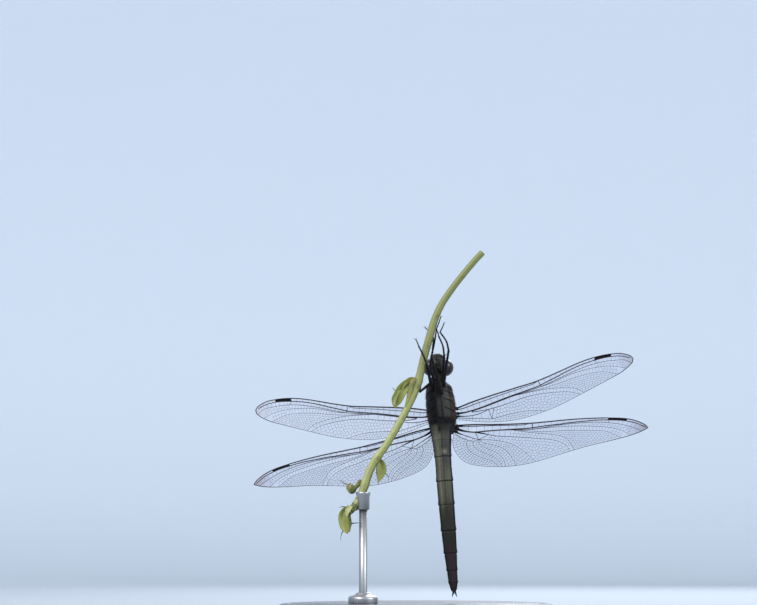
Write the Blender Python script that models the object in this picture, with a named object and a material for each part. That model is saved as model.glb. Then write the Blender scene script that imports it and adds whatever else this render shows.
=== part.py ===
"""Still model of a male skimmer dragonfly that hangs head-up on a drooping plant stem, on a display stand.

Sizes are in millimetres until a mesh is made. World: +Z up, X to the insect's left, Y from its belly to
its back, the origin under the middle of the whole model, on the stand's underside.
Body frame: x to the insect's left, y to its back, z to its head, origin in the middle of the thorax.
Neighbouring solids keep a gap of 0.3 mm.
"""

from math import cos, pi, radians, sin

import bmesh
import bpy
import numpy as np
from mathutils import Matrix, Vector

MM = 0.001
GAP = 0.3

# How the body hangs: where the thorax is, and how far the body is rolled, tilted back and leaned over.
THORAX_PLACE = (-1.3, 3.0, 48.9)
BODY_ROLL = radians(8.5)
BODY_TILT = radians(8)
BODY_LEAN = radians(3.3)

# How much narrower than the belly half the back half of a body section is, as a share.
BACK_NARROWING = 0.12

# Thorax and neck sections: height z, half width, top of the back, bottom of the belly, middle x.
THORAX = [
    (-5.9, 2.3, 2.3, -2.3, -0.25),
    (-5.2, 2.75, 3.0, -2.9, -0.1),
    (-3.8, 3.05, 3.9, -3.5, 0.0),
    (-1.6, 3.15, 4.5, -4.0, -0.05),
    (0.6, 3.15, 4.5, -4.2, -0.1),
    (2.4, 2.95, 3.7, -3.9, -0.2),
    (3.8, 2.6, 2.6, -3.1, -0.25),
    (4.6, 2.0, 1.9, -2.3, -0.45),
]
NECK = [
    (4.9, 1.6, 1.4, -1.7, -0.5),
    (5.3, 1.65, 1.6, -1.8, -0.5),
    (5.9, 1.2, 1.1, -1.3, -0.5),
    (6.2, 0.8, 0.8, -0.9, -0.5),
]

# Abdomen: where each segment ends, and the half width, back and belly along the whole of it.
SEGMENT_ENDS = (-6.25, -6.9, -8.3, -11.9, -17.3, -22.5, -28.2, -33.1, -36.8, -39.5, -41.0)
ABDOMEN = [
    (-6.2, 2.15, 2.1, -1.9),
    (-8.3, 2.05, 2.2, -1.95),
    (-11.9, 1.75, 1.75, -1.5),
    (-17.3, 1.72, 1.45, -1.2),
    (-22.5, 1.65, 1.35, -1.1),
    (-28.2, 1.53, 1.25, -1.0),
    (-33.1, 1.33, 1.15, -0.95),
    (-36.8, 1.08, 0.95, -0.8),
    (-39.5, 0.93, 0.8, -0.65),
    (-41.0, 0.62, 0.6, -0.5),
]
ABDOMEN_SHIFT = -0.35
ABDOMEN_BEND = 0.5
SEGMENT_FLARE = 0.05
TAIL_TIP = -42.5

# Claspers: side, share of the tail's length, and how far each stands to the back.
CLASPERS = {"cercus_left": (1, 1.0, 0.2), "cercus_right": (-1, 1.0, 0.2), "epiproct": (0, 0.6, -0.5)}
CLASPER_RADIUS = 0.26
CLASPER_ROOT = 0.41
CLASPER_SPREAD = 0.18

# Head frame: x left, y back, z forwards. Each ellipsoid: centre, radii.
HEAD_PLACE = (-0.2, -0.1, 8.7)
HEAD_YAW = radians(6)
CORE = ((0, -0.3, -0.2), (2.1, 1.9, 1.8))
EYE = ((1.6, 0.5, -0.4), (1.85, 2.2, 1.9))
FACE = ((0, -0.15, 1.2), (1.6, 1.85, 1.35))
MOUTH = ((0, -1.75, -0.3), (1.75, 1.0, 1.8))
ANTENNA_ROOT = (0.75, 1.75, 2.35)
ANTENNA_AIM = (0.4, 0.75, 0.55)
ANTENNA_LENGTH = 2.6
ANTENNA_RADIUS = 0.27

# Wings: hinge, turns of the wing, and outline in its own plane (out along the span, towards the head).
WING_THICKNESS = 0.5
FORE_HINGE = (2.75, 3.9, -0.55)
HIND_HINGE = (2.75, 2.85, -4.7)
FORE_LEADING = [
    (0, 0.0), (1.5, 0.22), (3, 0.42), (8, 0.77), (14, 0.95), (19, 1.12), (22, 1.52), (26, 2.2),
    (29, 2.7), (32, 2.97), (35, 2.9), (37, 2.6), (39, 2.0), (40.3, 1.1), (41, 0.05),
]
FORE_TRAILING = [
    (0, -2.9), (1.5, -3.6), (3.5, -4.6), (6, -5.6), (8.5, -6.3), (12, -6.95), (15, -7.05), (18, -6.9),
    (21, -6.57), (25, -5.75), (29, -4.8), (34, -3.55), (38, -2.4), (40.2, -1.1), (41, -0.05),
]
HIND_LEADING = [
    (0, 0.0), (1.5, 0.3), (3, 0.42), (8, 0.52), (14, 0.8), (17, 1.02), (20, 1.4), (26, 2.15),
    (30, 2.45), (34, 2.55), (37, 2.42), (39, 2.0), (40.6, 1.3), (41.6, 0.6), (42, 0.05),
]
HIND_TRAILING = [
    (0, -2.2), (0.4, -4.6), (0.9, -6.5), (1.5, -7.8), (2.4, -9.0), (3.9, -10.0), (6, -10.5), (9, -10.75),
    (12, -10.65), (14.8, -10.3), (17.5, -9.6), (20, -8.7), (23, -7.5), (26, -6.3), (29, -5.15),
    (32.5, -4.05), (35.5, -3.1), (38.3, -2.1), (40.6, -1.0), (42, -0.05),
]
# Where the folds of a wing run, as a share of the chord, and how high each stands.
WING_FOLDS = [(0.0, 0.0), (0.07, 0.22), (0.15, -0.08), (0.42, 0.12), (0.72, 0.05), (1.0, 0.0)]
# Sweep towards the head, lift towards the back and pitch of each wing, in degrees.
WING_TURNS = {
    "wing_fore_left": (12.5, 7.0, 19.5),
    "wing_hind_left": (-6.2, -3.6, 25.5),
    "wing_fore_right": (6.4, 5.7, 13.5),
    "wing_hind_right": (-12.1, 3.1, 25.0),
}

# Legs: the hip in the body frame, then the knee, ankle and claw in the world.
LEG_RADII = {"femur": (0.45, 0.32), "tibia": (0.3, 0.26), "tarsus": (0.26, 0.25)}
LEGS = {
    "fore_left": ((1.0, -3.0, 4.3), (-0.8, -2.4, 59.1), (-1.9, -4.2, 63.2), (-2.1, -4.7, 64.9)),
    "fore_right": ((-1.7, -3.1, 4.7), (-6.1, -2.6, 51.1), (-5.3, -3.0, 56.7), (-5.1, -3.2, 59.3)),
    "mid_left": ((1.7, -4.2, 2.8), (0.2, -3.4, 60.0), (-1.5, -5.2, 63.7), (-0.8, -5.7, 65.8)),
    "mid_right": ((-2.1, -4.8, 1.9), (-4.4, -6.2, 56.0), (-6.4, -7.0, 60.6), (-7.0, -6.7, 62.1)),
    "hind_left": ((1.0, -4.8, 0.6), (-3.6, -3.1, 58.7), (-2.5, -4.0, 64.8), (-1.3, -4.3, 67.5)),
    "hind_right": ((-0.5, -4.8, 0.6), (-3.8, -1.3, 56.8), (-3.1, -2.8, 63.0), (-4.9, -3.3, 65.1)),
}

# Perch: the stem's middle line (x, z) in the world, from its hanging tip to where it is cut, its greatest
# radius, and the share of it at each height.
STEM_Y = -5.0
STEM_RADIUS = 0.9
STEM_TAPER = [
    (25.7, 0.93), (33, 0.98), (38, 0.9), (50, 0.88), (56, 0.94), (64, 0.94), (70, 0.85), (81.4, 0.77),
]
STEM_ROUTE = [
    (-20.5, 25.7), (-19.3, 27.6), (-18.5, 29.5), (-17.7, 31.9), (-16.6, 34.7), (-15.1, 37.1), (-13.6, 39.1),
    (-11.4, 42.7), (-9.4, 46.3), (-7.4, 50.4), (-6.4, 53.5), (-5.55, 57.0), (-4.9, 59.8), (-4.0, 63.0),
    (-3.2, 65.8), (-2.25, 68.3), (-0.8, 70.9), (2.05, 74.9), (5.75, 79.4), (7.6, 81.4),
]

# Buds: middle line in the world (x, y, z), greatest radius, and how flat they are from front to back.
# Each swells and narrows again as the sine of an angle that runs over BUD_SWELL.
BUD_SWELL = (radians(11), radians(165))
BUDS = {
    "perch_leaf_bud": ([(-8.3, -5.0, 53.0), (-10.2, -5.0, 50.5), (-11.5, -5.0, 48.0)], 1.3, 0.7),
    "perch_bud_upper": ([(-14.5, -3.8, 36.2), (-14.5, -3.8, 34.1), (-15.1, -3.8, 31.6)], 1.1, 0.8),
    "perch_bud_middle": ([(-19.5, -4.4, 31.1), (-20.5, -4.4, 30.4), (-21.3, -4.4, 29.5)], 1.05, 0.9),
    "perch_bud_tip": ([(-22.6, -5.6, 25.2), (-21.9, -5.6, 23.0), (-21.2, -5.6, 20.6)], 1.3, 0.7),
}

# Stand: a round base and a rod whose cup holds the stem.
BASE_MIDDLE = (-7.0, 0.0)
BASE_RADIUS = 30.0
BASE_HEIGHT = 5.5
BASE_BEVEL = 0.8
ROD_X = -18.4
ROD_RADIUS = 0.9
CUP_RADIUS = 1.4
CUP_HEIGHT = 2.2
CUP_FLARE = 0.8
CUP_WALL = 0.9
CUP_LIP = 1.6
FOOT_RADIUS = 3.2
FOOT_EDGE = 0.8
FOOT_HEIGHT = 2.4

MATERIALS = {
    "head": ((0.035, 0.03, 0.03), 0.45, 0.0),
    "eye": ((0.05, 0.035, 0.03), 0.2, 0.0),
    "face": ((0.3, 0.33, 0.3), 0.4, 0.0),
    "thorax": ((0.07, 0.055, 0.045), 0.6, 0.0),
    "abdomen": ((0.2, 0.2, 0.16), 0.5, 0.0),
    "appendage": ((0.03, 0.03, 0.03), 0.4, 0.0),
    "leg": ((0.015, 0.015, 0.017), 0.4, 0.0),
    "wing": ((0.6, 0.66, 0.7), 0.2, 0.0),
    "stem": ((0.42, 0.45, 0.14), 0.55, 0.0),
    "bud": ((0.3, 0.36, 0.09), 0.6, 0.0),
    "stand": ((0.08, 0.08, 0.085), 0.45, 0.0),
    "rod": ((0.6, 0.6, 0.6), 0.3, 1.0),
}


# --- meshes ---------------------------------------------------------------------------------------


def material(slot):
    """The material of one slot, made the first time it is asked for."""
    found = bpy.data.materials.get(slot)
    if found:
        return found
    colour, roughness, metallic = MATERIALS[slot]
    made = bpy.data.materials.new(slot)
    made.use_nodes = True
    shader = made.node_tree.nodes["Principled BSDF"]
    shader.inputs["Base Color"].default_value = (*colour, 1)
    shader.inputs["Roughness"].default_value = roughness
    shader.inputs["Metallic"].default_value = metallic
    return made


def solid(name, slot, rings, parent=None):
    """A closed solid through rings of points, each with the same count, capped at both ends."""
    count = len(rings[0])
    points = [Vector(p) * MM for ring in rings for p in ring]
    faces = []
    for i in range(len(rings) - 1):
        for j in range(count):
            k = (j + 1) % count
            a, b = i * count, (i + 1) * count
            faces.append((a + j, a + k, b + k, b + j))
    faces.append(tuple(reversed(range(count))))
    faces.append(tuple(range(len(points) - count, len(points))))
    mesh = bpy.data.meshes.new(name)
    mesh.from_pydata(points, [], faces)
    return finished(name, slot, mesh, parent)


def finished(name, slot, mesh, parent=None):
    """An object for the mesh, its faces turned outwards, its edges over 40 degrees kept sharp."""
    work = bmesh.new()
    work.from_mesh(mesh)
    bmesh.ops.recalc_face_normals(work, faces=work.faces)
    work.to_mesh(mesh)
    work.free()
    mesh.shade_smooth()
    mesh.set_sharp_from_angle(angle=radians(40))
    mesh.materials.append(material(slot))
    made = bpy.data.objects.new(name, mesh)
    bpy.context.scene.collection.objects.link(made)
    made.parent = parent
    return made


def smooth_line(points, steps):
    """Points along a Catmull-Rom curve through the given ones, with steps of them in each stretch."""
    p = [Vector(q) for q in points]
    p = [2 * p[0] - p[1]] + p + [2 * p[-1] - p[-2]]
    line = []
    for a, b, c, d in zip(p, p[1:], p[2:], p[3:]):
        for i in range(steps):
            t = i / steps
            line.append(0.5 * (2 * b + (c - a) * t + (2 * a - 5 * b + 4 * c - d) * t**2
                               + (3 * b - a - 3 * c + d) * t**3))
    return line + [p[-2]]


def tube_rings(line, radii, sides, flatness=1.0):
    """Rings of the given radii round a line, without twist; flatness squeezes them from front to back."""
    rings = []
    up = Vector((0, 1, 0))
    for i, (middle, radius) in enumerate(zip(line, radii)):
        along = (line[min(i + 1, len(line) - 1)] - line[max(i - 1, 0)]).normalized()
        across = along.cross(up).normalized()
        front = across.cross(along).normalized()
        ring = []
        for j in range(sides):
            a = 2 * pi * j / sides
            ring.append(middle + radius * (across * cos(a) + front * sin(a) * flatness))
        rings.append(ring)
    return rings


def read(table, place):
    """The row of a table of sections at the given place along it, by smooth interpolation."""
    rows = np.array(sorted(table), float)
    slopes = np.gradient(rows[:, 1:], rows[:, 0], axis=0)
    i = int(np.clip(np.searchsorted(rows[:, 0], place) - 1, 0, len(rows) - 2))
    step = rows[i + 1, 0] - rows[i, 0]
    t = (place - rows[i, 0]) / step
    start, end = rows[i, 1:], rows[i + 1, 1:]
    return (
        start * (2 * t**3 - 3 * t**2 + 1)
        + end * (3 * t**2 - 2 * t**3)
        + slopes[i] * step * (t**3 - 2 * t**2 + t)
        + slopes[i + 1] * step * (t**3 - t**2)
    )


def section(place, half_width, back, belly, middle, sides, scale=1.0):
    """One ring across the body: round, with its own height above and below, and narrower at the back."""
    ring = []
    for j in range(sides):
        a = 2 * pi * j / sides
        height = back if cos(a) > 0 else -belly
        narrowing = 1 - BACK_NARROWING * cos(a)
        x = middle + half_width * scale * sin(a) * narrowing
        ring.append((x, height * scale * cos(a), place))
    return ring


def ellipsoid_rings(centre, radii, rows, sides, grow=0.0, inner=None):
    """Rings of an ellipsoid whose poles lie along x; inner stops it at that x, as a flat face."""
    rings = []
    for i in range(1, rows):
        a = pi * i / rows
        x = centre[0] - (radii[0] + grow) * cos(a)
        if inner is not None:
            x = max(x, inner)
        ring = []
        for j in range(sides):
            b = 2 * pi * j / sides
            y = centre[1] + (radii[1] + grow) * sin(a) * cos(b)
            z = centre[2] + (radii[2] + grow) * sin(a) * sin(b)
            ring.append((x, y, z))
        rings.append(ring)
    return rings


def cut(piece, tool_rings, name):
    """Cuts the solid through tool_rings out of the piece."""
    tool = solid(name, "head", tool_rings, piece.parent)
    tool.hide_render = True
    tool.display_type = "WIRE"
    boolean = piece.modifiers.new(name, "BOOLEAN")
    boolean.operation = "DIFFERENCE"
    boolean.solver = "EXACT"
    boolean.object = tool


# --- the insect -----------------------------------------------------------------------------------


def body_matrix():
    """Where the body frame is in the world."""
    turn = (
        Matrix.Rotation(-BODY_LEAN, 4, "Y")
        @ Matrix.Rotation(-BODY_TILT, 4, "X")
        @ Matrix.Rotation(-BODY_ROLL, 4, "Z")
    )
    return Matrix.Translation(Vector(THORAX_PLACE) * MM) @ turn


def empty(name, matrix, parent=None):
    made = bpy.data.objects.new(name, None)
    bpy.context.scene.collection.objects.link(made)
    made.parent = parent
    made.matrix_local = matrix
    return made


def make_trunk(body):
    """The thorax and, before it, the small ring of the neck."""
    for name, table, steps in (("thorax", THORAX, 10), ("neck", NECK, 4)):
        start, end = table[0][0], table[-1][0]
        rings = []
        for i in range(steps + 1):
            z = start + (end - start) * i / steps
            rings.append(section(z, *read(table, z), 18))
        solid(name, "thorax", rings, body)


def abdomen_middle(z):
    """How far the abdomen has bent to the insect's left at z."""
    reach = SEGMENT_ENDS[0] - TAIL_TIP
    return ABDOMEN_SHIFT + ABDOMEN_BEND * ((SEGMENT_ENDS[0] - z) / reach) ** 2


def make_abdomen(body):
    """Ten segments, each a little wider at its rear edge than where the next one comes out of it."""
    rows = 4
    for number, (front, rear) in enumerate(zip(SEGMENT_ENDS, SEGMENT_ENDS[1:]), 1):
        front, rear = front - GAP / 2, rear + GAP / 2
        rings = []
        for i in range(rows):
            t = i / (rows - 1)
            z = front + (rear - front) * t
            scale = 1 + SEGMENT_FLARE * (t - 0.5)
            rings.append(section(z, *read(ABDOMEN, z), abdomen_middle(z), 14, scale))
        solid(f"abdomen_{number:02d}", "abdomen", rings, body)


def make_appendages(body):
    """Two upper claspers, which spread to points, and the shorter lower one between and below them."""
    start = SEGMENT_ENDS[-1] - GAP / 2
    middle = abdomen_middle(start)
    for name, (side, share, y) in CLASPERS.items():
        line = []
        for i in range(5):
            t = i / 4
            x = middle + side * (CLASPER_ROOT + CLASPER_SPREAD * t)
            line.append(Vector((x, y, start + (TAIL_TIP - start) * share * t)))
        solid(name, "appendage", tube_rings(line, [CLASPER_RADIUS] * 5, 8), body)


def make_head(body):
    """The head's core, two big eyes that meet above it, the face, the mouthparts and the feelers."""
    place = Matrix.Translation(Vector(HEAD_PLACE) * MM) @ Matrix.Rotation(HEAD_YAW, 4, "Y")
    head = empty("head_frame", place, body)
    solid("head", "head", ellipsoid_rings(*CORE, 10, 20), head)

    eye_rings = {}
    for side, sign in (("left", 1), ("right", -1)):
        for grow, stop in ((0.0, GAP / 2), (GAP, -GAP / 2)):
            rings = ellipsoid_rings(*EYE, 11, 18, grow, stop)
            eye_rings[side, grow] = [[(sign * x, y, z) for x, y, z in ring] for ring in rings]
        eye = solid(f"eye_{side}", "eye", eye_rings[side, 0.0], head)
        cut(eye, ellipsoid_rings(*CORE, 10, 20, GAP), f"cutter_core_{side}")

    face = solid("face", "face", ellipsoid_rings(*FACE, 11, 22), head)
    mouth = solid("mouthparts", "head", ellipsoid_rings(*MOUTH, 10, 18), head)
    for piece in (face, mouth):
        cut(piece, ellipsoid_rings(*CORE, 10, 20, GAP), f"cutter_core_{piece.name}")
        for side in ("left", "right"):
            cut(piece, eye_rings[side, GAP], f"cutter_eye_{side}_{piece.name}")
    cut(mouth, ellipsoid_rings(*FACE, 10, 18, GAP), "cutter_face")

    for side, sign in (("left", 1), ("right", -1)):
        mirror = Vector((sign, 1, 1))
        root, aim = Vector(ANTENNA_ROOT) * mirror, Vector(ANTENNA_AIM).normalized() * mirror
        line = [root + aim * ANTENNA_LENGTH * i / 3 for i in range(4)]
        solid(f"antenna_{side}", "leg", tube_rings(line, [ANTENNA_RADIUS] * 4, 7), head)


def wing_axes(sweep, lift, pitch):
    """Unit vectors of a left wing in the body frame: along the span, to the leading edge, to the back."""
    turn = (
        Matrix.Rotation(radians(lift), 3, "Z")
        @ Matrix.Rotation(-radians(sweep), 3, "Y")
        @ Matrix.Rotation(-radians(pitch), 3, "X")
    )
    return turn @ Vector((1, 0, 0)), turn @ Vector((0, 0, 1)), turn @ Vector((0, 1, 0))


def make_wings(body):
    """Four folded plates with the true outline, thin at no place."""
    stations = 23
    full_fold_chord = 4
    for name, turns in WING_TURNS.items():
        fore = "fore" in name
        leading = FORE_LEADING if fore else HIND_LEADING
        trailing = FORE_TRAILING if fore else HIND_TRAILING
        hinge = Vector(FORE_HINGE if fore else HIND_HINGE)
        span, chord, top = wing_axes(*turns)
        side = 1 if name.endswith("left") else -1
        length = leading[-1][0]
        rings = []
        for i in range(stations + 1):
            x = length * (1 - cos(pi * i / stations)) / 2
            front = read(leading, x)[0]
            depth = front - read(trailing, x)[0]
            fold_scale = min(1.0, depth / full_fold_chord)
            upper = [(front - depth * share, height * fold_scale) for share, height in WING_FOLDS]
            lower = [(y, height - WING_THICKNESS) for y, height in reversed(upper)]
            ring = []
            for y, height in upper + lower:
                p = hinge + span * x + chord * y + top * (height + WING_THICKNESS / 2)
                ring.append((side * p.x, p.y, p.z))
            rings.append(ring)
        solid(name, "wing", rings, body)


def knee_gap(before, joint, after, reach):
    """How far the second length of a leg starts from the joint, so that it clears the first one."""
    angle = (before - joint).angle(after - joint)
    return GAP + max(0.0, reach * cos(angle) / sin(angle))


def make_legs(body):
    """Six legs, each a thigh, a shin and a foot that holds the stem."""
    to_body = body_matrix().inverted()
    rings_along = 4
    for leg, (hip, *rest) in LEGS.items():
        joints = [Vector(hip)] + [to_body @ (Vector(place) * MM) / MM for place in rest]
        start_gap = GAP
        for number, (part, (thick, thin)) in enumerate(LEG_RADII.items()):
            start, end = joints[number], joints[number + 1]
            along = (end - start).normalized()
            first, last = start + along * start_gap, end - along * GAP
            steps = [i / (rings_along - 1) for i in range(rings_along)]
            line = [first.lerp(last, t) for t in steps]
            radii = [thick + (thin - thick) * t for t in steps]
            solid(f"leg_{leg}_{part}", "leg", tube_rings(line, radii, 7), body)
            if number < 2:
                start_gap = knee_gap(start, end, joints[number + 2], 2 * thin + GAP)


# --- the perch and the stand ----------------------------------------------------------------------


def stem_line():
    """The stem's middle line."""
    return smooth_line([(x, STEM_Y, z) for x, z in STEM_ROUTE], 2)


def make_perch():
    """The hanging stem, which tapers to both ends, and the buds along it."""
    line = stem_line()
    radii = [STEM_RADIUS * float(read(STEM_TAPER, p.z)[0]) for p in line]
    solid("perch_stem", "stem", tube_rings(line, radii, 10))
    for name, (route, radius, flatness) in BUDS.items():
        middle = smooth_line(route, 4)
        angles = np.linspace(*BUD_SWELL, len(middle))
        radii = [radius * (0.2 + 0.8 * sin(angle)) for angle in angles]
        solid(name, "bud", tube_rings(middle, radii, 10, flatness))


def turned(name, slot, middle, profile, sides):
    """A solid turned about a vertical axis, from (radius, height) pairs, bottom first."""
    rings = []
    for radius, height in profile:
        ring = []
        for j in range(sides):
            a = 2 * pi * j / sides
            ring.append((middle[0] + radius * cos(a), middle[1] + radius * sin(a), height))
        rings.append(ring)
    return solid(name, slot, rings)


def stem_height(x):
    """Height of the stem's middle line at x."""
    line = stem_line()
    return float(np.interp(x, [p.x for p in line], [p.z for p in line]))


def make_stand():
    """The base, the rod's foot, the rod, and the cup that the stem leans in."""
    b = BASE_BEVEL
    turned("stand_base", "stand", BASE_MIDDLE, [
        (BASE_RADIUS - b / 2, 0),
        (BASE_RADIUS, b / 2),
        (BASE_RADIUS, BASE_HEIGHT - b),
        (BASE_RADIUS - b * (1 - cos(pi / 4)), BASE_HEIGHT - b * (1 - sin(pi / 4))),
        (BASE_RADIUS - b, BASE_HEIGHT),
    ], 64)
    rod = (ROD_X, STEM_Y)
    foot_bottom = BASE_HEIGHT + GAP
    foot_top = foot_bottom + FOOT_HEIGHT
    turned("stand_foot", "rod", rod, [
        (FOOT_RADIUS, foot_bottom),
        (FOOT_RADIUS, foot_bottom + FOOT_EDGE),
        (FOOT_RADIUS / 2, (foot_bottom + FOOT_EDGE + foot_top) / 2),
        (ROD_RADIUS * 1.5, foot_top),
    ], 24)
    cup_top = stem_height(ROD_X) - STEM_RADIUS - GAP - CUP_WALL
    cup_bottom = cup_top - CUP_HEIGHT
    turned("stand_rod", "rod", rod, [(ROD_RADIUS, foot_top + GAP), (ROD_RADIUS, cup_bottom - GAP)], 16)
    cup = turned("stand_cup", "rod", rod, [
        (ROD_RADIUS, cup_bottom),
        (CUP_RADIUS, cup_bottom + CUP_FLARE),
        (CUP_RADIUS, cup_top + CUP_LIP),
    ], 20)
    near = [p for p in stem_line() if abs(p.x - ROD_X) < 4 * CUP_RADIUS]
    cut(cup, tube_rings(near, [STEM_RADIUS + GAP] * len(near), 12), "cutter_stem")


def build():
    for old in list(bpy.data.objects):
        bpy.data.objects.remove(old, do_unlink=True)
    body = empty("body_frame", body_matrix())
    make_trunk(body)
    make_abdomen(body)
    make_appendages(body)
    make_head(body)
    make_wings(body)
    make_legs(body)
    make_perch()
    make_stand()


build()
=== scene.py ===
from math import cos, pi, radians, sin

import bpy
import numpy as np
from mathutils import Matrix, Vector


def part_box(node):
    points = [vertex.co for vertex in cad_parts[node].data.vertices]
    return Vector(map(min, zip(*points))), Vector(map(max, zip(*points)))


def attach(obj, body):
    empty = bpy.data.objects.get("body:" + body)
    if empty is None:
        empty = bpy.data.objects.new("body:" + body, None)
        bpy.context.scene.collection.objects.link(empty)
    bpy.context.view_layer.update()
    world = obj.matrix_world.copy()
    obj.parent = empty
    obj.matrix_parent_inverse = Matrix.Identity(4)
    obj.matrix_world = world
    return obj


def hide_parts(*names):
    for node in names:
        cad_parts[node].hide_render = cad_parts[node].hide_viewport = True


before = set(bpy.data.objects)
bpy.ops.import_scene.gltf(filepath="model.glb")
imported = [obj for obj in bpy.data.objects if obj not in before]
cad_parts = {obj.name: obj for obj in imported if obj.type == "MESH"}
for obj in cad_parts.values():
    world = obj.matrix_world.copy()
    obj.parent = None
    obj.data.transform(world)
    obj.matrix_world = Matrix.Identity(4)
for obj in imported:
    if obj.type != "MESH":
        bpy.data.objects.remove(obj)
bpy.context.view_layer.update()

# The looks of a male skimmer dragonfly that hangs head-up on a drooping plant stem, on a display stand.
# Sizes are in millimetres in the same frame as the CAD, whose base underside is at height 0 and has its
# middle at x = -7. They become metres when a mesh is made. Body frame: x to the insect's left, y to its
# back, z to its head, origin in the middle of the thorax.

MM = 0.001
BASE_MIDDLE = (-7, 0)
BASE_LOW, BASE_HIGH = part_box("stand_base")
# Where the CAD's own zero point lies in the frame, read off the base's box.
ORIGIN = np.array((
    (BASE_LOW.x + BASE_HIGH.x) / 2 - BASE_MIDDLE[0] * MM,
    (BASE_LOW.y + BASE_HIGH.y) / 2,
    BASE_LOW.z,
)) / MM


# --- meshes ---------------------------------------------------------------------------------------


class Shape:
    """Points and faces gathered from many pieces, with named numbers for each point."""

    def __init__(self, *names):
        self.points, self.faces, self.count = [], [], 0
        self.values = {name: [] for name in names}

    def add(self, points, faces, **values):
        """Adds points and faces (rows of 3 or 4 indices) and, by name, one number or one for each point."""
        points = np.asarray(points, float).reshape(-1, 3)
        self.points.append(points)
        self.faces.append(np.asarray(faces, int) + self.count)
        self.count += len(points)
        for name, kept in self.values.items():
            given = np.asarray(values.get(name, 0.0), float)
            wide = (len(points), 3) if name == "tint" else (len(points),)
            kept.append(np.broadcast_to(given, wide))

    def add_rings(self, points, around, ends, flip=False, **values):
        """Adds rings of points, end to end, closed by a fan of faces round each of two end points."""
        j = np.arange(around)
        k = (j + 1) % around
        first, last, top = len(points), len(points) + 1, len(points) - around
        fans = np.vstack([np.stack([k, j, j * 0 + first], 1), np.stack([top + j, top + k, j * 0 + last], 1)])
        before = self.count
        quads = grid_faces(len(points) // around, around, closed=True, flip=flip)
        self.add(np.vstack([points, ends]), quads, **values)
        self.faces.append((fans[:, [1, 0, 2]] if flip else fans) + before)

    def make(self, name, material):
        """A smooth mesh object from it all."""
        points = (np.concatenate(self.points) + ORIGIN) * MM
        faces = [f for f in self.faces if len(f)]
        sizes = np.concatenate([np.full(len(f), f.shape[1]) for f in faces])
        corners = np.concatenate([f.ravel() for f in faces])
        mesh = bpy.data.meshes.new(name)
        mesh.vertices.add(len(points))
        mesh.vertices.foreach_set("co", points.astype(np.float32).ravel())
        mesh.loops.add(len(corners))
        mesh.loops.foreach_set("vertex_index", corners.astype(np.int32))
        mesh.polygons.add(len(sizes))
        mesh.polygons.foreach_set("loop_start", (np.cumsum(sizes) - sizes).astype(np.int32))
        mesh.update(calc_edges=True)
        mesh.validate()
        mesh.shade_smooth()
        for value_name, kept in self.values.items():
            numbers = np.concatenate(kept)
            if value_name == "tint":
                layer = mesh.attributes.new(value_name, "FLOAT_COLOR", "POINT")
                numbers = np.column_stack([numbers, np.ones(len(numbers))])
                layer.data.foreach_set("color", numbers.astype(np.float32).ravel())
            else:
                layer = mesh.attributes.new(value_name, "FLOAT", "POINT")
                layer.data.foreach_set("value", numbers.astype(np.float32))
        mesh.materials.append(material)
        made = bpy.data.objects.new(name, mesh)
        bpy.context.scene.collection.objects.link(made)
        return made


def grid_faces(rows, columns, closed=False, flip=False):
    """Quads over rows of points; closed joins each row's end to its start."""
    wide = columns if closed else columns - 1
    i, j = np.meshgrid(np.arange(rows - 1), np.arange(wide), indexing="ij")
    k = (j + 1) % columns
    quads = np.stack([i * columns + j, i * columns + k, (i + 1) * columns + k, (i + 1) * columns + j], -1)
    quads = quads.reshape(-1, 4)
    return quads[:, ::-1] if flip else quads


def turns(count):
    """Angles spread evenly round a circle."""
    return 2 * pi * np.arange(count) / count


def unit(v):
    return v / np.maximum(np.linalg.norm(v, axis=-1, keepdims=True), 1e-9)


def smooth_line(points, steps):
    """Points along a Catmull-Rom curve through the given ones, with steps of them in each stretch."""
    p = np.asarray(points, float)
    p = np.vstack([2 * p[0] - p[1], p, 2 * p[-1] - p[-2]])
    line = []
    for a, b, c, d in zip(p, p[1:], p[2:], p[3:]):
        for t in np.arange(steps) / steps:
            line.append(0.5 * (2 * b + (c - a) * t + (2 * a - 5 * b + 4 * c - d) * t**2
                               + (3 * b - a - 3 * c + d) * t**3))
    return np.array(line + [p[-2]])


def lengths_along(line):
    """How far along a line each of its points is."""
    return np.concatenate([[0], np.cumsum(np.linalg.norm(np.diff(line, axis=0), axis=1))])


def read(table, places):
    """The columns of a table at places along its first column, by smooth interpolation."""
    rows = np.array(sorted(table), float)
    x, y = rows[:, 0], rows[:, 1:]
    slopes = np.gradient(y, x, axis=0)
    places = np.clip(np.asarray(places, float), x[0], x[-1])
    i = np.clip(np.searchsorted(x, places) - 1, 0, len(x) - 2)
    step = (x[i + 1] - x[i])[..., None]
    t = (places - x[i])[..., None] / step
    return (y[i] * (2 * t**3 - 3 * t**2 + 1) + y[i + 1] * (3 * t**2 - 2 * t**3)
            + slopes[i] * step * (t**3 - 2 * t**2 + t) + slopes[i + 1] * step * (t**3 - t**2))


def spread(value, rows, sides):
    """A number or colour for each row of a tube, or one for all, repeated for each point of the rows."""
    value = np.asarray(value, float)
    if value.ndim == 0 or (value.ndim == 1 and len(value) != rows):
        value = np.broadcast_to(value, (rows,) + value.shape)
    return np.repeat(value, sides, axis=0)


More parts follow.
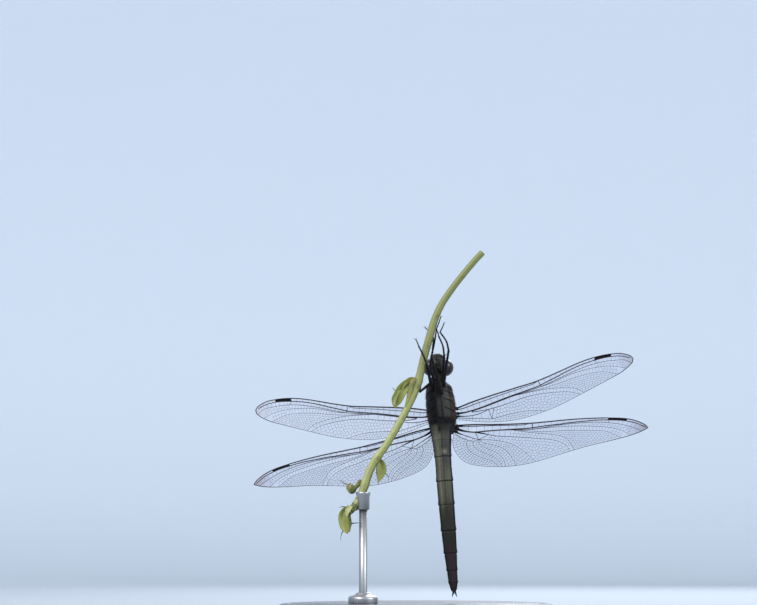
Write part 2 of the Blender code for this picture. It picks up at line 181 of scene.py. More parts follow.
def tube(shape, line, radii, sides, up=(0, 1, 0), **values):
    """A closed tube round a line, without twist."""
    line = np.asarray(line, float)
    radii = np.broadcast_to(np.asarray(radii, float), len(line))
    heading = unit(np.gradient(line, axis=0))
    across = unit(np.cross(heading, np.asarray(up, float)))
    front = np.cross(across, heading)
    a = turns(sides)
    ring = across[:, None] * np.cos(a)[:, None] + front[:, None] * np.sin(a)[:, None]
    points = (line[:, None] + ring * radii[:, None, None]).reshape(-1, 3)
    values = {k: spread(v, len(line), sides) for k, v in values.items()}
    values = {k: np.concatenate([v, v[:1], v[-1:]]) for k, v in values.items()}
    shape.add_rings(points, sides, line[[0, -1]], **values)


# --- materials ------------------------------------------------------------------------------------


class Paint:
    """A node material under construction."""

    def __init__(self, name, **settings):
        self.material = bpy.data.materials.new(name)
        self.material.use_nodes = True
        self.tree = self.material.node_tree
        self.shader = self.tree.nodes["Principled BSDF"]
        for socket, value in settings.items():
            self.shader.inputs[socket.replace("_", " ")].default_value = value

    def node(self, kind, settings=None, **inputs):
        made = self.tree.nodes.new(f"ShaderNode{kind}")
        for key, value in (settings or {}).items():
            setattr(made, key, value)
        for key, value in inputs.items():
            self.put(made.inputs[key.replace("_", " ")], value)
        return made

    def put(self, socket, value):
        if isinstance(value, bpy.types.NodeSocket):
            self.tree.links.new(value, socket)
        else:
            socket.default_value = value

    def value(self, name):
        return self.node("Attribute", {"attribute_name": name}).outputs["Fac"]

    def tint(self):
        """The colour painted on the points."""
        return self.node("Attribute", {"attribute_name": "tint"}).outputs["Color"]

    def noise(self, scale, detail=4.0, rough=0.55, stretch=(1, 1, 1)):
        """A noise of the given number of waves to a millimetre."""
        place = self.node("TexCoord").outputs["Object"]
        scaled = self.node("Mapping", Vector=place, Scale=[scale * s / MM for s in stretch]).outputs[0]
        return self.node("TexNoise", Vector=scaled, Scale=1.0, Detail=detail, Roughness=rough).outputs["Fac"]

    def ramp(self, factor, *stops):
        """Maps a number to a colour; stops are (place, colour)."""
        made = self.node("ValToRGB", Fac=factor)
        points = made.color_ramp.elements
        while len(points) < len(stops):
            points.new(0.5)
        for point, (place, colour) in zip(points, stops):
            point.position = place
            point.color = (*colour, 1)
        return made.outputs["Color"]

    def level(self, factor, low, high, start=0.0, end=1.0):
        """Maps a number from start..end to low..high."""
        made = self.node("MapRange")
        for socket, value in zip(made.inputs[:5], (factor, start, end, low, high)):
            self.put(socket, value)
        return made.outputs[0]

    def mix(self, factor, a, b, kind="MIX"):
        made = self.node("Mix", {"data_type": "RGBA", "blend_type": kind})
        for index, value in ((0, factor), (6, a), (7, b)):
            colour = value if isinstance(value, (bpy.types.NodeSocket, float)) else (*value, 1)
            self.put(made.inputs[index], colour)
        return made.outputs[2]

    def bump(self, height, strength, distance):
        """Bumps of the given depth in millimetres."""
        made = self.node("Bump", Height=height, Strength=strength, Distance=distance * MM)
        self.put(self.shader.inputs["Normal"], made.outputs[0])

    def colour(self, value):
        self.put(self.shader.inputs["Base Color"], value)
        return self.material

    def rough(self, value):
        self.put(self.shader.inputs["Roughness"], value)


def vein_material():
    """Dark brown-black tubes, browner in patches."""
    paint = Paint("wing_vein", Roughness=0.6, Specular_IOR_Level=0.15)
    blotch = paint.noise(0.8)
    paint.bump(paint.noise(6.0), 0.4, 0.01)
    dark = paint.ramp(blotch, (0.3, (0.007, 0.007, 0.01)), (0.7, (0.022, 0.017, 0.016)))
    return paint.colour(dark)


def film_material():
    """Clear film with a faint tint, smoky where the attribute smoke says."""
    paint = Paint("wing_film", Roughness=0.2, IOR=1.5)
    smoke = paint.value("smoke")
    tint = paint.ramp(paint.noise(0.35, 2.0), (0.35, (0.09, 0.095, 0.31)), (0.65, (0.13, 0.12, 0.3)))
    paint.bump(paint.noise(0.7, 2.0), 0.5, 0.03)
    paint.put(paint.shader.inputs["Alpha"], paint.level(smoke, 0.17, 0.7))
    return paint.colour(paint.mix(smoke, tint, (0.12, 0.06, 0.045)))


def stigma_material():
    """The black thickened cell near each wing's tip."""
    paint = Paint("wing_stigma", Roughness=0.6, Specular_IOR_Level=0.03)
    grain = paint.noise(5.0)
    paint.bump(grain, 0.5, 0.02)
    return paint.colour(paint.ramp(grain, (0.3, (0.002, 0.002, 0.004)), (0.75, (0.006, 0.005, 0.006))))


# --- the body frame -------------------------------------------------------------------------------

THORAX_PLACE = (-1.3, 3.0, 48.9)
BODY_TURN = np.array(
    Matrix.Rotation(radians(-3.3), 3, "Y") @ Matrix.Rotation(radians(-8), 3, "X")
    @ Matrix.Rotation(radians(-8.5), 3, "Z")
)


def from_body(points):
    """Places in the model for points given in the body frame."""
    return np.asarray(points, float) @ BODY_TURN.T + np.array(THORAX_PLACE)


# --- wings ----------------------------------------------------------------------------------------

# Sweep towards the head, lift towards the back and pitch of each wing, in degrees.
WING_TURNS = {
    "wing_fore_left": (12.5, 7.0, 19.5),
    "wing_hind_left": (-6.2, -3.6, 25.5),
    "wing_fore_right": (6.4, 5.7, 13.5),
    "wing_hind_right": (-12.1, 3.1, 25.0),
}
# How far each wing's inner edge reaches back towards the body; the right hind one keeps clear of it.
WING_REACH = {"wing_fore_left": 0.9, "wing_hind_left": 1.1, "wing_fore_right": 0.9, "wing_hind_right": 0.1}
# Main veins in a wing's own plane: out along the span, towards the head.
FORE = {
    "hinge": (2.75, 3.9, -0.55),
    "length": 41.0,
    "leading": [
        (0, 0.0), (1.5, 0.22), (3, 0.42), (8, 0.77), (14, 0.95), (19, 1.12), (22, 1.52), (26, 2.2),
        (29, 2.7), (32, 2.97), (35, 2.9), (37, 2.6), (39, 2.02), (40.2, 1.25), (40.8, 0.62), (41, 0.05),
    ],
    "trailing": [
        (0, -2.9), (1.5, -3.6), (3.5, -4.6), (6, -5.6), (8.5, -6.3), (12, -6.95), (15, -7.05), (18, -6.9),
        (21, -6.57), (25, -5.75), (29, -4.8), (34, -3.55), (38, -2.4), (40.1, -1.25), (40.8, -0.6),
        (41, -0.05),
    ],
    "nodus": 19.4,
    "stigma": (32.9, 36.7),
    "arculus": 3.2,
    "sc": [(0, -0.55), (2, -0.55), (4, -0.35), (8, -0.05), (12, 0.25), (16, 0.45), (18.6, 0.75), (19.4, 1.1)],
    "r": [
        (0, -1.2), (1.5, -1.45), (3.2, -1.5), (6.5, -1.3), (9, -1.0), (12.5, -0.65), (16, -0.4), (19.3, -0.1),
        (21.2, 0.35), (24, 0.95), (27, 1.62), (30, 2.1), (33, 2.25), (36.9, 1.95), (39, 1.3), (40.5, 0.35),
    ],
    "rp1": [
        (3.2, -1.8), (6.5, -1.62), (9, -1.35), (12.5, -1.0), (15, -0.85), (19.6, -0.55), (24, 0.25),
        (28, 1.0), (31, 1.35), (34, 1.3), (37, 0.8), (39.6, -0.2), (40.3, -1.0),
    ],
    "rp2": [
        (19.6, -0.55), (22, -0.4), (25, 0.15), (28, 0.5), (31, 0.45), (34, 0.1), (37, -0.9), (38.8, -2.0),
    ],
    "ir2": [
        (15, -0.85), (19, -1.1), (24, -0.9), (28, -0.62), (31, -0.75), (34, -1.3), (36.4, -2.6), (36.8, -2.8),
    ],
    "rp3": [(13.5, -0.95), (16, -1.1), (19, -1.35), (21.5, -1.75), (24.9, -2.7), (26.7, -3.5), (28.1, -5.0)],
    "ma": [
        (3.2, -2.0), (4.9, -2.3), (6.9, -2.5), (8, -2.52), (12, -2.34), (14.6, -2.12), (17.8, -2.2),
        (20, -2.45), (23, -3.1), (25.5, -4.0), (27.3, -5.2),
    ],
    "mp": [(6.9, -5.1), (9, -5.1), (12, -5.2), (15, -5.6), (17.5, -6.35), (18.8, -6.85)],
    "cu": [(0, -1.95), (2, -2.6), (3.6, -2.9), (5.4, -2.85), (6.9, -2.5)],
    "a": [(0, -2.4), (2, -3.2), (4, -3.95), (5.5, -4.5), (6.9, -5.1)],
    "triangle": [(6.9, -2.5), (8.05, -2.52), (6.9, -5.1)],
    "smoke": (0.92, 0.7),
}
HIND = {
    "hinge": (2.75, 2.85, -4.7),
    "length": 42.0,
    "leading": [
        (0, 0.0), (1.5, 0.3), (3, 0.42), (8, 0.52), (14, 0.8), (17, 1.02), (20, 1.4), (26, 2.15),
        (30, 2.45), (34, 2.55), (37, 2.42), (39, 2.0), (40.6, 1.3), (41.6, 0.6), (42, 0.05),
    ],
    "trailing": [
        (0, -2.2), (0.4, -4.6), (0.9, -6.5), (1.5, -7.8), (2.4, -9.0), (3.9, -10.0), (6, -10.5), (9, -10.75),
        (12, -10.65), (14.8, -10.3), (17.5, -9.6), (20, -8.7), (23, -7.5), (26, -6.3), (29, -5.15),
        (32.5, -4.05), (35.5, -3.1), (38.3, -2.1), (40.6, -1.0), (42, -0.05),
    ],
    "nodus": 16.8,
    "stigma": (33.3, 37.4),
    "arculus": 4.4,
    "sc": [(0, -0.3), (2, -0.25), (5, -0.1), (9, 0.12), (13, 0.22), (15.5, 0.5), (16.8, 1.0)],
    "r": [
        (0, -0.6), (1.9, -1.2), (4.3, -1.45), (6.7, -1.15), (12.3, -0.62), (14.5, -0.45), (16.4, -0.25),
        (19.2, 0.3), (22.9, 0.88), (28, 1.6), (30.5, 1.92), (32.8, 2.0), (37.4, 1.75), (40, 1.0), (41.5, 0.2),
    ],
    "rp1": [
        (4.4, -1.7), (6.7, -1.4), (9, -1.15), (12.3, -0.95), (16.8, -0.75), (20, -0.1), (24, 0.7), (28, 1.2),
        (31, 1.38), (34, 1.2), (37, 0.65), (39.8, -0.4), (40.8, -0.9),
    ],
    "rp2": [
        (16.8, -0.75), (19.7, -0.3), (24, 0.1), (27, 0.28), (30, 0.22), (33, 0.08), (36, -0.6), (38.5, -2.0),
    ],
    "ir2": [
        (13.5, -0.95), (17, -1.2), (20, -1.25), (23, -0.98), (26, -0.84), (30, -0.88), (33, -1.0),
        (36.6, -2.7),
    ],
    "rp3": [
        (12.3, -0.95), (14.6, -1.3), (17, -1.65), (19.3, -1.85), (22, -2.2), (23.8, -2.6), (25.2, -3.7),
        (26.5, -6.1),
    ],
    "ma": [
        (4.4, -1.75), (6.2, -1.9), (7.4, -2.28), (8.7, -2.55), (11.6, -2.73), (14.7, -2.89), (18.8, -3.1),
        (21.5, -3.4), (23.6, -4.1), (25, -5.2), (25.7, -6.4),
    ],
    "mp": [
        (5.4, -3.63), (8.2, -3.7), (10.1, -3.95), (12.5, -4.6), (14.4, -5.7), (16.2, -7.1), (17.6, -8.5),
        (18.5, -9.25),
    ],
    "cu": [(0, -1.5), (0.9, -1.9), (2.2, -2.4), (3.4, -2.85), (4.4, -3.3), (5.4, -3.63)],
    "a": [(0, -1.9), (0.9, -2.6), (2.2, -3.3), (3.4, -3.75), (4.6, -3.95), (5.4, -3.63)],
    "triangle": [(4.4, -1.75), (7.4, -2.28), (5.4, -3.63)],
    "smoke": (0.89, 0.9),
}
# Points along each vein and along the edges of each field of cells.
LINE_STEPS = 60
EDGE_STEPS = 40
VEIN_SIDES = 6
# Each vein's radius at its start and at its end.
VEIN_RADII = (
    ("sc", 0.1, 0.06), ("r", 0.17, 0.09), ("rp1", 0.1, 0.045), ("rp2", 0.06, 0.035), ("ir2", 0.05, 0.035),
    ("rp3", 0.06, 0.04), ("ma", 0.09, 0.04), ("mp", 0.065, 0.035), ("cu", 0.11, 0.07), ("a", 0.07, 0.05),
)
# How many of its nearest seeds can share a wall with a cell, and the shortest piece of wall that is made.
NEIGHBOURS = 15
SHORTEST_WALL = 0.03
# How high each vein stands on the wing's folds at the root, in the order from front to back.
FOLDS = (
    ("leading", 0.05), ("sc", -0.2), ("r", 0.22), ("rp1", -0.08), ("rp2", -0.1), ("ir2", 0.1), ("rp3", -0.1),
    ("ma", 0.14), ("mp", -0.16), ("trailing", 0.0),
)


def along(table, x):
    """How far forward a vein or margin is at x."""
    return read(table, x)[..., 0]


def on_line(wing, name, x):
    """Places in the wing's plane on a vein or margin, at each x."""
    return np.stack([x, along(wing[name], x)], 1)


def fold_height(wing, x, y):
    """How far the film stands above the wing's plane: up at some veins, down at others."""
    x, y = np.asarray(x, float), np.asarray(y, float)
    front, back = along(wing["leading"], x), along(wing["trailing"], x)
    places, heights = [], []
    for name, high in FOLDS:
        table = wing[name]
        place = along(table, x)
        start, end = table[0][0], table[-1][0]
        present = np.clip((x - start) / 3, 0, 1) if start > 0 else np.ones_like(x)
        place = np.where(x > end, back if name in ("rp2", "ir2", "rp3", "ma", "mp") else place, place)
        place = np.where(x < start, back, place)
        place = np.clip(place, back, front)
        if places:
            place = np.minimum(place, places[-1])
        places.append(place)
        heights.append(high * present * (x <= end))
    result = np.zeros_like(x)
    for k in range(len(places) - 1):
        gap = places[k] - places[k + 1]
        inside = (y <= places[k] + 1e-6) & (y >= places[k + 1] - 1e-6) & (gap > 1e-4)
        t = (places[k] - y) / np.maximum(gap, 1e-4)
        result = np.where(inside, heights[k] + (heights[k + 1] - heights[k]) * t, result)
    shrink = 1 - 0.75 * x / wing["length"]
    return result * shrink


def crop(polygon, normal, offset, label, labels):
    """The part of a convex polygon where p . normal <= offset; labels say which cut made each side."""
    side = polygon @ normal - offset
    if (side <= 0).all():
        return polygon, labels
    kept, kept_labels = [], []
    n = len(polygon)
    for i in range(n):
        j = (i + 1) % n
        a, b = side[i], side[j]
        if a <= 0:
            kept.append(polygon[i])
            kept_labels.append(labels[i])
        if (a <= 0) != (b <= 0):
            kept.append(polygon[i] + (polygon[j] - polygon[i]) * (a / (a - b)))
            kept_labels.append(label if a <= 0 else labels[i])
    return np.array(kept), kept_labels


def cell_walls(seeds, reach):
    """Walls between the cells round seeds, as pairs of ends."""
    walls = []
    gaps = ((seeds[:, None] - seeds[None]) ** 2).sum(-1)
    for i, seed in enumerate(seeds):
        near = np.argsort(gaps[i])[1:NEIGHBOURS + 1]
        near = near[gaps[i][near] < (3.5 * reach) ** 2]
        polygon = seed + np.array([(-1, -1), (1, -1), (1, 1), (-1, 1)]) * reach * 1.6
        labels = [-1] * 4
        for j in near:
            middle = (seed + seeds[j]) / 2
            normal = seeds[j] - seed
            polygon, labels = crop(polygon, normal, middle @ normal, j, labels)
            if len(polygon) < 3:
                break
        for k, label in enumerate(labels):
            if label > i and len(polygon) > 2:
                walls.append((polygon[k], polygon[(k + 1) % len(polygon)]))
    return walls


def inside_parts(a, b, outline):
    """The parts of the line a-b that lie in a closed outline."""
    c, d = outline, np.roll(outline, -1, axis=0)
    u, v = b - a, d - c
    cross = u[0] * v[:, 1] - u[1] * v[:, 0]
    cross = np.where(abs(cross) < 1e-12, 1e-12, cross)
    w = c - a
    t = (w[:, 0] * v[:, 1] - w[:, 1] * v[:, 0]) / cross
    s = (w[:, 0] * u[1] - w[:, 1] * u[0]) / cross
    cuts = np.sort(np.concatenate([[0, 1], t[(s >= 0) & (s < 1) & (t > 0) & (t < 1)]]))
    parts = []
    for t0, t1 in zip(cuts, cuts[1:]):
        m = a + u * (t0 + t1) / 2
        above = (c[:, 1] > m[1]) != (d[:, 1] > m[1])
        crossing = c[:, 0] + (m[1] - c[:, 1]) / np.where(above, d[:, 1] - c[:, 1], 1) * (d[:, 0] - c[:, 0])
        if (above & (crossing > m[0])).sum() % 2 and (t1 - t0) * np.linalg.norm(u) > SHORTEST_WALL:
            parts.append((a + u * t0, a + u * t1))
    return parts


def fill(upper, lower, width, height, random, regular=0.1):
    """Cell walls between two lines of the same number of points, in rows of cells of about that size."""
    middle = (upper + lower) / 2
    reach = lengths_along(middle)
    depth = np.linalg.norm(upper - lower, axis=1)
    seeds = []
    most = max(1, int(round(depth.max() / height)))
    columns = max(1, int(reach[-1] / width))
    for c in range(-1, columns + 2):
        for row in range(most):
            at = (c + 0.5 + (0.5 if row % 2 and most > 1 else 0)) / columns * reach[-1]
            at = at + width * regular * random.uniform(-1, 1)
            if not -width < at < reach[-1] + width:
                continue
            inner = np.clip(at, 0, reach[-1])
            rows = max(1, int(round(np.interp(inner, reach, depth) / height)))
            if row >= rows:
                continue
            share = (row + 0.5 + (regular * random.uniform(-1, 1) if rows > 1 else 0)) / rows
            top = np.array([np.interp(inner, reach, upper[:, k]) for k in (0, 1)])
            bottom = np.array([np.interp(inner, reach, lower[:, k]) for k in (0, 1)])
            drift = unit(middle[-1] - middle[0]) * (at - inner)
            seeds.append(top + (bottom - top) * share + drift)
    seeds = np.array(seeds)
    outline = np.vstack([upper, lower[::-1]])
    size = max(width, height if most > 1 else depth.max())
    parts = []
    for a, b in cell_walls(seeds, size):
        parts += inside_parts(a, b, outline)
    return parts


def span_lines(wing, first, last, start, end):
    """Two lines over the same stretch of the span, each read from a table, or from joined tables."""
    x = np.linspace(start, end, LINE_STEPS)
    lines = []
    for names in (first, last):
        y = None
        for name in names.split("+"):
            here = along(wing[name], x)
            y = here if y is None else np.where(x > reach_end, here, y)
            reach_end = wing[name][-1][0]
        lines.append(np.stack([x, np.clip(y, along(wing["trailing"], x), None)], 1))
    return lines


def wing_cells(wing):
    """The walls of every cell of a wing, in its plane, with each field's own cell size."""
    fore = wing is FORE
    random = np.random.default_rng(7 if fore else 11)
    nodus, (stigma_in, stigma_out), arculus = wing["nodus"], wing["stigma"], wing["arculus"]
    length = wing["length"]
    step = 1.42 if fore else 1.75
    fields = [
        ("leading", "sc", 1.0, nodus, step, 3, 0.05),
        ("sc", "r", 1.0, nodus, step, 3, 0.05),
        ("leading", "r", nodus, stigma_in, 1.3, 3, 0.06),
        ("leading", "r", stigma_out, length - 1, 0.62, 3, 0.05),
        ("r", "rp1", arculus, nodus, 1.6, 3, 0.1),
        ("r", "rp1", nodus, length - 1.8, 0.95, 1.5, 0.1),
        ("rp1", "rp2", nodus, wing["rp2"][-1][0], 0.72, 0.72, 0.13),
        ("rp2", "ir2", nodus, wing["ir2"][-1][0], 0.66, 0.9, 0.12),
        ("ir2", "rp3+trailing", 15.0 if fore else 14.0, wing["ir2"][-1][0], 0.62, 0.56, 0.16),
        ("rp1", "ma", arculus + 0.4, 13.4 if fore else 12.3, 1.25, 3, 0.1),
        ("rp3", "ma", 13.6 if fore else 12.5, wing["ma"][-1][0], 0.72, 0.85, 0.1),
    ]
    if fore:
        fields += [
            ("ma", "mp+trailing", 8.0, wing["ma"][-1][0], 0.74, 0.78, 0.16),
            ("mp", "trailing", 7.0, 18.8, 0.62, 0.6, 0.15),
            ("cu", "a", 1.2, 6.9, 1.5, 1.3, 0.1),
            ("a", "trailing", 0.3, 6.9, 0.7, 0.62, 0.14),
        ]
    else:
        fields += [
            ("ma", "mp+trailing", 7.4, wing["ma"][-1][0], 0.76, 0.8, 0.16),
            ("cu", "a", 1.0, 5.4, 1.5, 3, 0.1),
        ]
    parts = []
    for first, last, start, end, width, height, regular in fields:
        parts += fill(*span_lines(wing, first, last, start, end), width, height, random, regular)
    if not fore:
        for upper, lower, width, height in hind_anal_fields(wing):
            parts += fill(upper, lower, width, height, random, 0.16)
    return parts


def even(points):
    """Points spread evenly along a smooth line through the given ones."""
    line = smooth_line(points, 12)
    reach = lengths_along(line)
    at = np.linspace(0, reach[-1], EDGE_STEPS)
    return np.stack([np.interp(at, reach, line[:, 0]), np.interp(at, reach, line[:, 1])], 1)


# The hind wing's foot-shaped loop of cells: its front side, its rib and its back side; and the branch
# behind the triangle.
LOOP_FRONT = [(5.2, -3.75), (5.9, -4.9), (7.3, -5.9), (9.1, -6.7), (10.6, -7.8), (11.5, -9.1), (12.0, -10.62)]
LOOP_RIB = [(4.2, -3.95), (4.4, -5.2), (5.7, -6.5), (7.6, -7.4), (9.4, -8.3), (10.6, -9.4), (11.2, -10.68)]
LOOP_BACK = [(3.0, -3.65), (2.9, -5.0), (3.7, -6.5), (5.5, -7.9), (7.5, -8.7), (9.3, -9.5), (10.4, -10.7)]
CUBITUS = [(5.4, -3.63), (6.6, -4.5), (8.6, -5.0), (10.6, -5.7), (12.2, -7.0), (13.5, -8.9), (14.2, -10.38)]


def hind_anal_fields(wing):
    """Fields of small cells in the broad back part of the hind wing."""
    mp_line = on_line(wing, "mp", np.linspace(5.6, 18.5, EDGE_STEPS))
    margin = on_line(wing, "trailing", np.linspace(14.2, 18.5, 16))
    cubitus = even(CUBITUS)
    below = even(np.vstack([cubitus[::3], margin[::3]]))
    root_x = np.array([0.02, 0.15, 0.4, 0.9, 1.5, 2.4, 3.9, 6.0, 8.0, 9.6, 10.2])
    root_margin = even(on_line(wing, "trailing", root_x))
    return [
        (mp_line, below, 0.68, 0.66),
        (cubitus, even(LOOP_FRONT), 0.66, 0.64),
        (even(LOOP_FRONT), even(LOOP_RIB), 0.66, 0.6),
        (even(LOOP_RIB), even(LOOP_BACK), 0.64, 0.6),
        (even([(2.9, -3.6)] + LOOP_BACK), root_margin, 0.64, 0.6),
    ]


def wing_place(name, wing):
    """A function from places in a wing's plane, and heights above it, to places in the model."""
    sweep, lift, pitch = (radians(a) for a in WING_TURNS[name])
    turn = np.array(
        Matrix.Rotation(lift, 3, "Z") @ Matrix.Rotation(-sweep, 3, "Y") @ Matrix.Rotation(-pitch, 3, "X")
    )
    mirror = np.array((1 if name.endswith("left") else -1, 1, 1))

    def place(x, y, height=0.0):
        x, y = np.asarray(x, float), np.asarray(y, float)
        inward = WING_REACH[name] * np.exp(-np.maximum(x, 0) / 1.3) * np.clip(-(y + 1.5) / 3, 0, 1)
        local = np.stack([x - inward, fold_height(wing, x, y) + height, y], -1)
        return from_body((np.array(wing["hinge"]) + local @ turn.T) * mirror)

    return place


def vein_tube(shape, place, line, start, end):
    """A tapering tube along a line in a wing's plane."""
    line = np.asarray(line, float)
    points = place(line[:, 0], line[:, 1])
    radii = start + (end - start) * np.linspace(0, 1, len(line)) ** 0.7
    tube(shape, points, radii, VEIN_SIDES, up=BODY_TURN[:, 1])


def wall_sticks(shape, place, walls, thick, thin):
    """Thin straight tubes along cell walls, all made at once."""
    ends = np.array(walls)
    a, b = (place(ends[:, k, 0], ends[:, k, 1]) for k in (0, 1))
    along_wall = unit(b - a)
    up = BODY_TURN[:, 1]
    across = unit(np.cross(along_wall, up))
    front = np.cross(across, along_wall)
    sides = 4
    radius = np.interp(ends[:, :1, 0], (0, HIND["length"]), (thick, thin))
    rings = []
    for end in (a, b):
        for j in range(sides):
            angle = 2 * pi * j / sides + pi / 4
            rings.append(end + (across * cos(angle) + front * sin(angle)) * radius)
    points = np.stack(rings, 1).reshape(-1, 3)
    base = np.arange(len(ends))[:, None] * 2 * sides
    for j in range(sides):
        k = (j + 1) % sides
        shape.faces.append(base + np.array([j, k, sides + k, sides + j]) + shape.count)
    shape.add(points, np.zeros((0, 4), int))


def table_line(wing, name):
    """A whole vein as places in the wing's plane."""
    return on_line(wing, name, np.linspace(wing[name][0][0], wing[name][-1][0], LINE_STEPS))


def add_film(shape, wing, place):
    """The film over the whole wing, smokier towards the tip."""
    length = wing["length"]
    columns, rows = 200, 44
    x = length * (1 - np.cos(pi * np.linspace(0.0, 1, columns))) / 2
    x = np.clip(x, 0.01, length - 0.02)
    front, back = along(wing["leading"], x), along(wing["trailing"], x)
    share = np.linspace(0, 1, rows)
    y = front[:, None] + (back - front)[:, None] * share
    grid_x = np.repeat(x[:, None], rows, 1)
    start, most = wing["smoke"]
    smoke = np.clip((grid_x / length - start) / (1 - start), 0, 1) ** 0.85 * most
    shape.add(place(grid_x, y).reshape(-1, 3), grid_faces(columns, rows), smoke=smoke.ravel())


def add_veins(shape, wing, place):
    """The rim round the wing, the main veins, the triangle and the thick cross veins."""
    length = wing["length"]
    span = np.linspace(0, length - 0.02, 140)
    tip = [(length + 0.03, 0.0)]
    margin = np.vstack([on_line(wing, "leading", span), tip, on_line(wing, "trailing", span)[::-1]])
    front_radii = np.linspace(0.17, 0.105, len(span) + 1)
    back_radii = 0.045 + 0.05 * np.linspace(1, 0, len(span)) ** 6
    radii = np.concatenate([front_radii, back_radii])
    tube(shape, place(margin[:, 0], margin[:, 1]), radii, VEIN_SIDES, up=BODY_TURN[:, 1])
    for vein, thick, thin in VEIN_RADII:
        vein_tube(shape, place, table_line(wing, vein), thick, thin)
    corners = wing["triangle"]
    for a, b in zip(corners, corners[1:] + corners[:1]):
        vein_tube(shape, place, np.linspace(a, b, 5), 0.06, 0.06)
    for x0, top, bottom, radius in (
        (wing["arculus"], "r", "ma", 0.07), (wing["nodus"] + 0.1, "leading", "rp1", 0.075),
        (wing["stigma"][0] + 0.1, "r", "rp1", 0.045),
    ):
        ends = [(x, float(along(wing[vein], x))) for x, vein in ((x0 - 0.15, top), (x0 + 0.15, bottom))]
        vein_tube(shape, place, np.linspace(*ends, 4), radius, radius)


def add_stigma(shape, wing, place):
    """The dark cell near the tip, raised a little on both faces of the film."""
    long, across = 24, 6
    s = np.linspace(*wing["stigma"], long)
    slant = np.linspace(0.22, -0.22, across)[None]
    cell_x = s[:, None] + slant
    top, bottom = along(wing["leading"], cell_x), along(wing["r"], cell_x)
    cell_y = top + (bottom - top) * np.linspace(0, 1, across)[None]
    rise = 0.07 * np.sin(pi * np.linspace(0.02, 0.98, across))[None]
    rise = rise * np.sin(pi * np.linspace(0.03, 0.97, long))[:, None] ** 0.3
    for direction in (1, -1):
        points = place(cell_x, cell_y, direction * rise)
        shape.add(points.reshape(-1, 3), grid_faces(long, across, flip=direction < 0))


def make_wing(name, wing, walls, materials):
    """A wing's film, veins, dark cell and root, the pieces that stand for one CAD plate."""
    place = wing_place(name, wing)
    film, veins, stigma = Shape("smoke"), Shape(), Shape()
    add_film(film, wing, place)
    add_veins(veins, wing, place)
    if wing is HIND:
        for line in (LOOP_FRONT, LOOP_RIB, LOOP_BACK, CUBITUS):
            vein_tube(veins, place, even(line), 0.055, 0.04)
    wall_sticks(veins, place, walls, 0.034, 0.021)
    add_stigma(stigma, wing, place)
    make_root(name, wing, place)
    for label, shape, material in zip(("film", "veins", "stigma"), (film, veins, stigma), materials):
        finish(shape, f"{name}_{label}", material, [name])


def make_root(name, wing, place):
    """The joint plates and struts that carry a wing, and the skin between them, down into the thorax."""
    root = Shape("tint")
    side = 1 if name.endswith("left") else -1
    hinge = np.array(wing["hinge"]) * (side, 1, 1)
    strong = 1.0 if "fore" in name else 1.25
    struts = (("leading", 2.0, 0.27, 0.2), ("r", 2.6, 0.3, 0.5), ("cu", 1.6, 0.2, 0.9))
    for vein, outer, thick, drop in struts:
        y = float(along(wing[vein], 0.0))
        inside = from_body(hinge + (-2.3 * side, -0.9, y * 0.75 - drop * 0.2))
        near = place(0.0, y, -0.05)
        x = np.linspace(0.5, outer, 5)
        line = smooth_line(np.vstack([inside, near, place(x, along(wing[vein], x))]), 5)
        t = np.linspace(0, 1, len(line))
        radii = strong * thick * (1 - 0.62 * t) * (1 + 0.35 * bell(t - 0.2, 0.08))
        tube(root, line, radii, 12, up=BODY_TURN[:, 1], tint=BLACK)
    plate = place(0.1, float(along(wing["leading"], 0.0)) + 0.05, 0.05)
    ball(root, plate, (0.4, 0.3, 0.42), DARK_BROWN * 1.3, 18, 24)
    back_end = 2.9 if "fore" in name else 2.3
    across, long = 9, 24
    y = -np.linspace(-0.1, back_end, long)
    scallops = 0.15 - 0.45 * np.abs(np.sin(pi * y / 1.2))
    outer_edge = place(scallops, y)
    inner_edge = from_body(hinge + np.stack([np.full(long, -2.2 * side), np.full(long, -1.3), y * 0.8], 1))
    share = np.linspace(0, 1, across)
    sag = 0.25 * np.sin(pi * share)
    skin = inner_edge[None] + (outer_edge - inner_edge)[None] * share[:, None, None]
    skin = skin - BODY_TURN[:, 1] * sag[:, None, None]
    folds = 0.05 * np.sin(9 * y)[None, :, None] * np.sin(pi * share)[:, None, None]
    tint = paint_over(np.broadcast_to(DARK_BROWN, (across, long, 3)), BLACK, share[:, None] * np.ones(long))
    for offset, flip in ((0.03, False), (-0.03, True)):
        layer = skin + BODY_TURN[:, 1] * (folds + offset)
        root.add(layer.reshape(-1, 3), grid_faces(across, long, flip=flip), tint=tint.reshape(-1, 3))
    finish(root, f"{name}_root", shell_material(f"{name}_root", 0.45), [name])


def make_wings():
    materials = (film_material(), vein_material(), stigma_material())
    fore_walls, hind_walls = wing_cells(FORE), wing_cells(HIND)
    for name in WING_TURNS:
        wing, walls = (FORE, fore_walls) if "fore" in name else (HIND, hind_walls)
        make_wing(name, wing, walls, materials)


# --- the body's skin ------------------------------------------------------------------------------

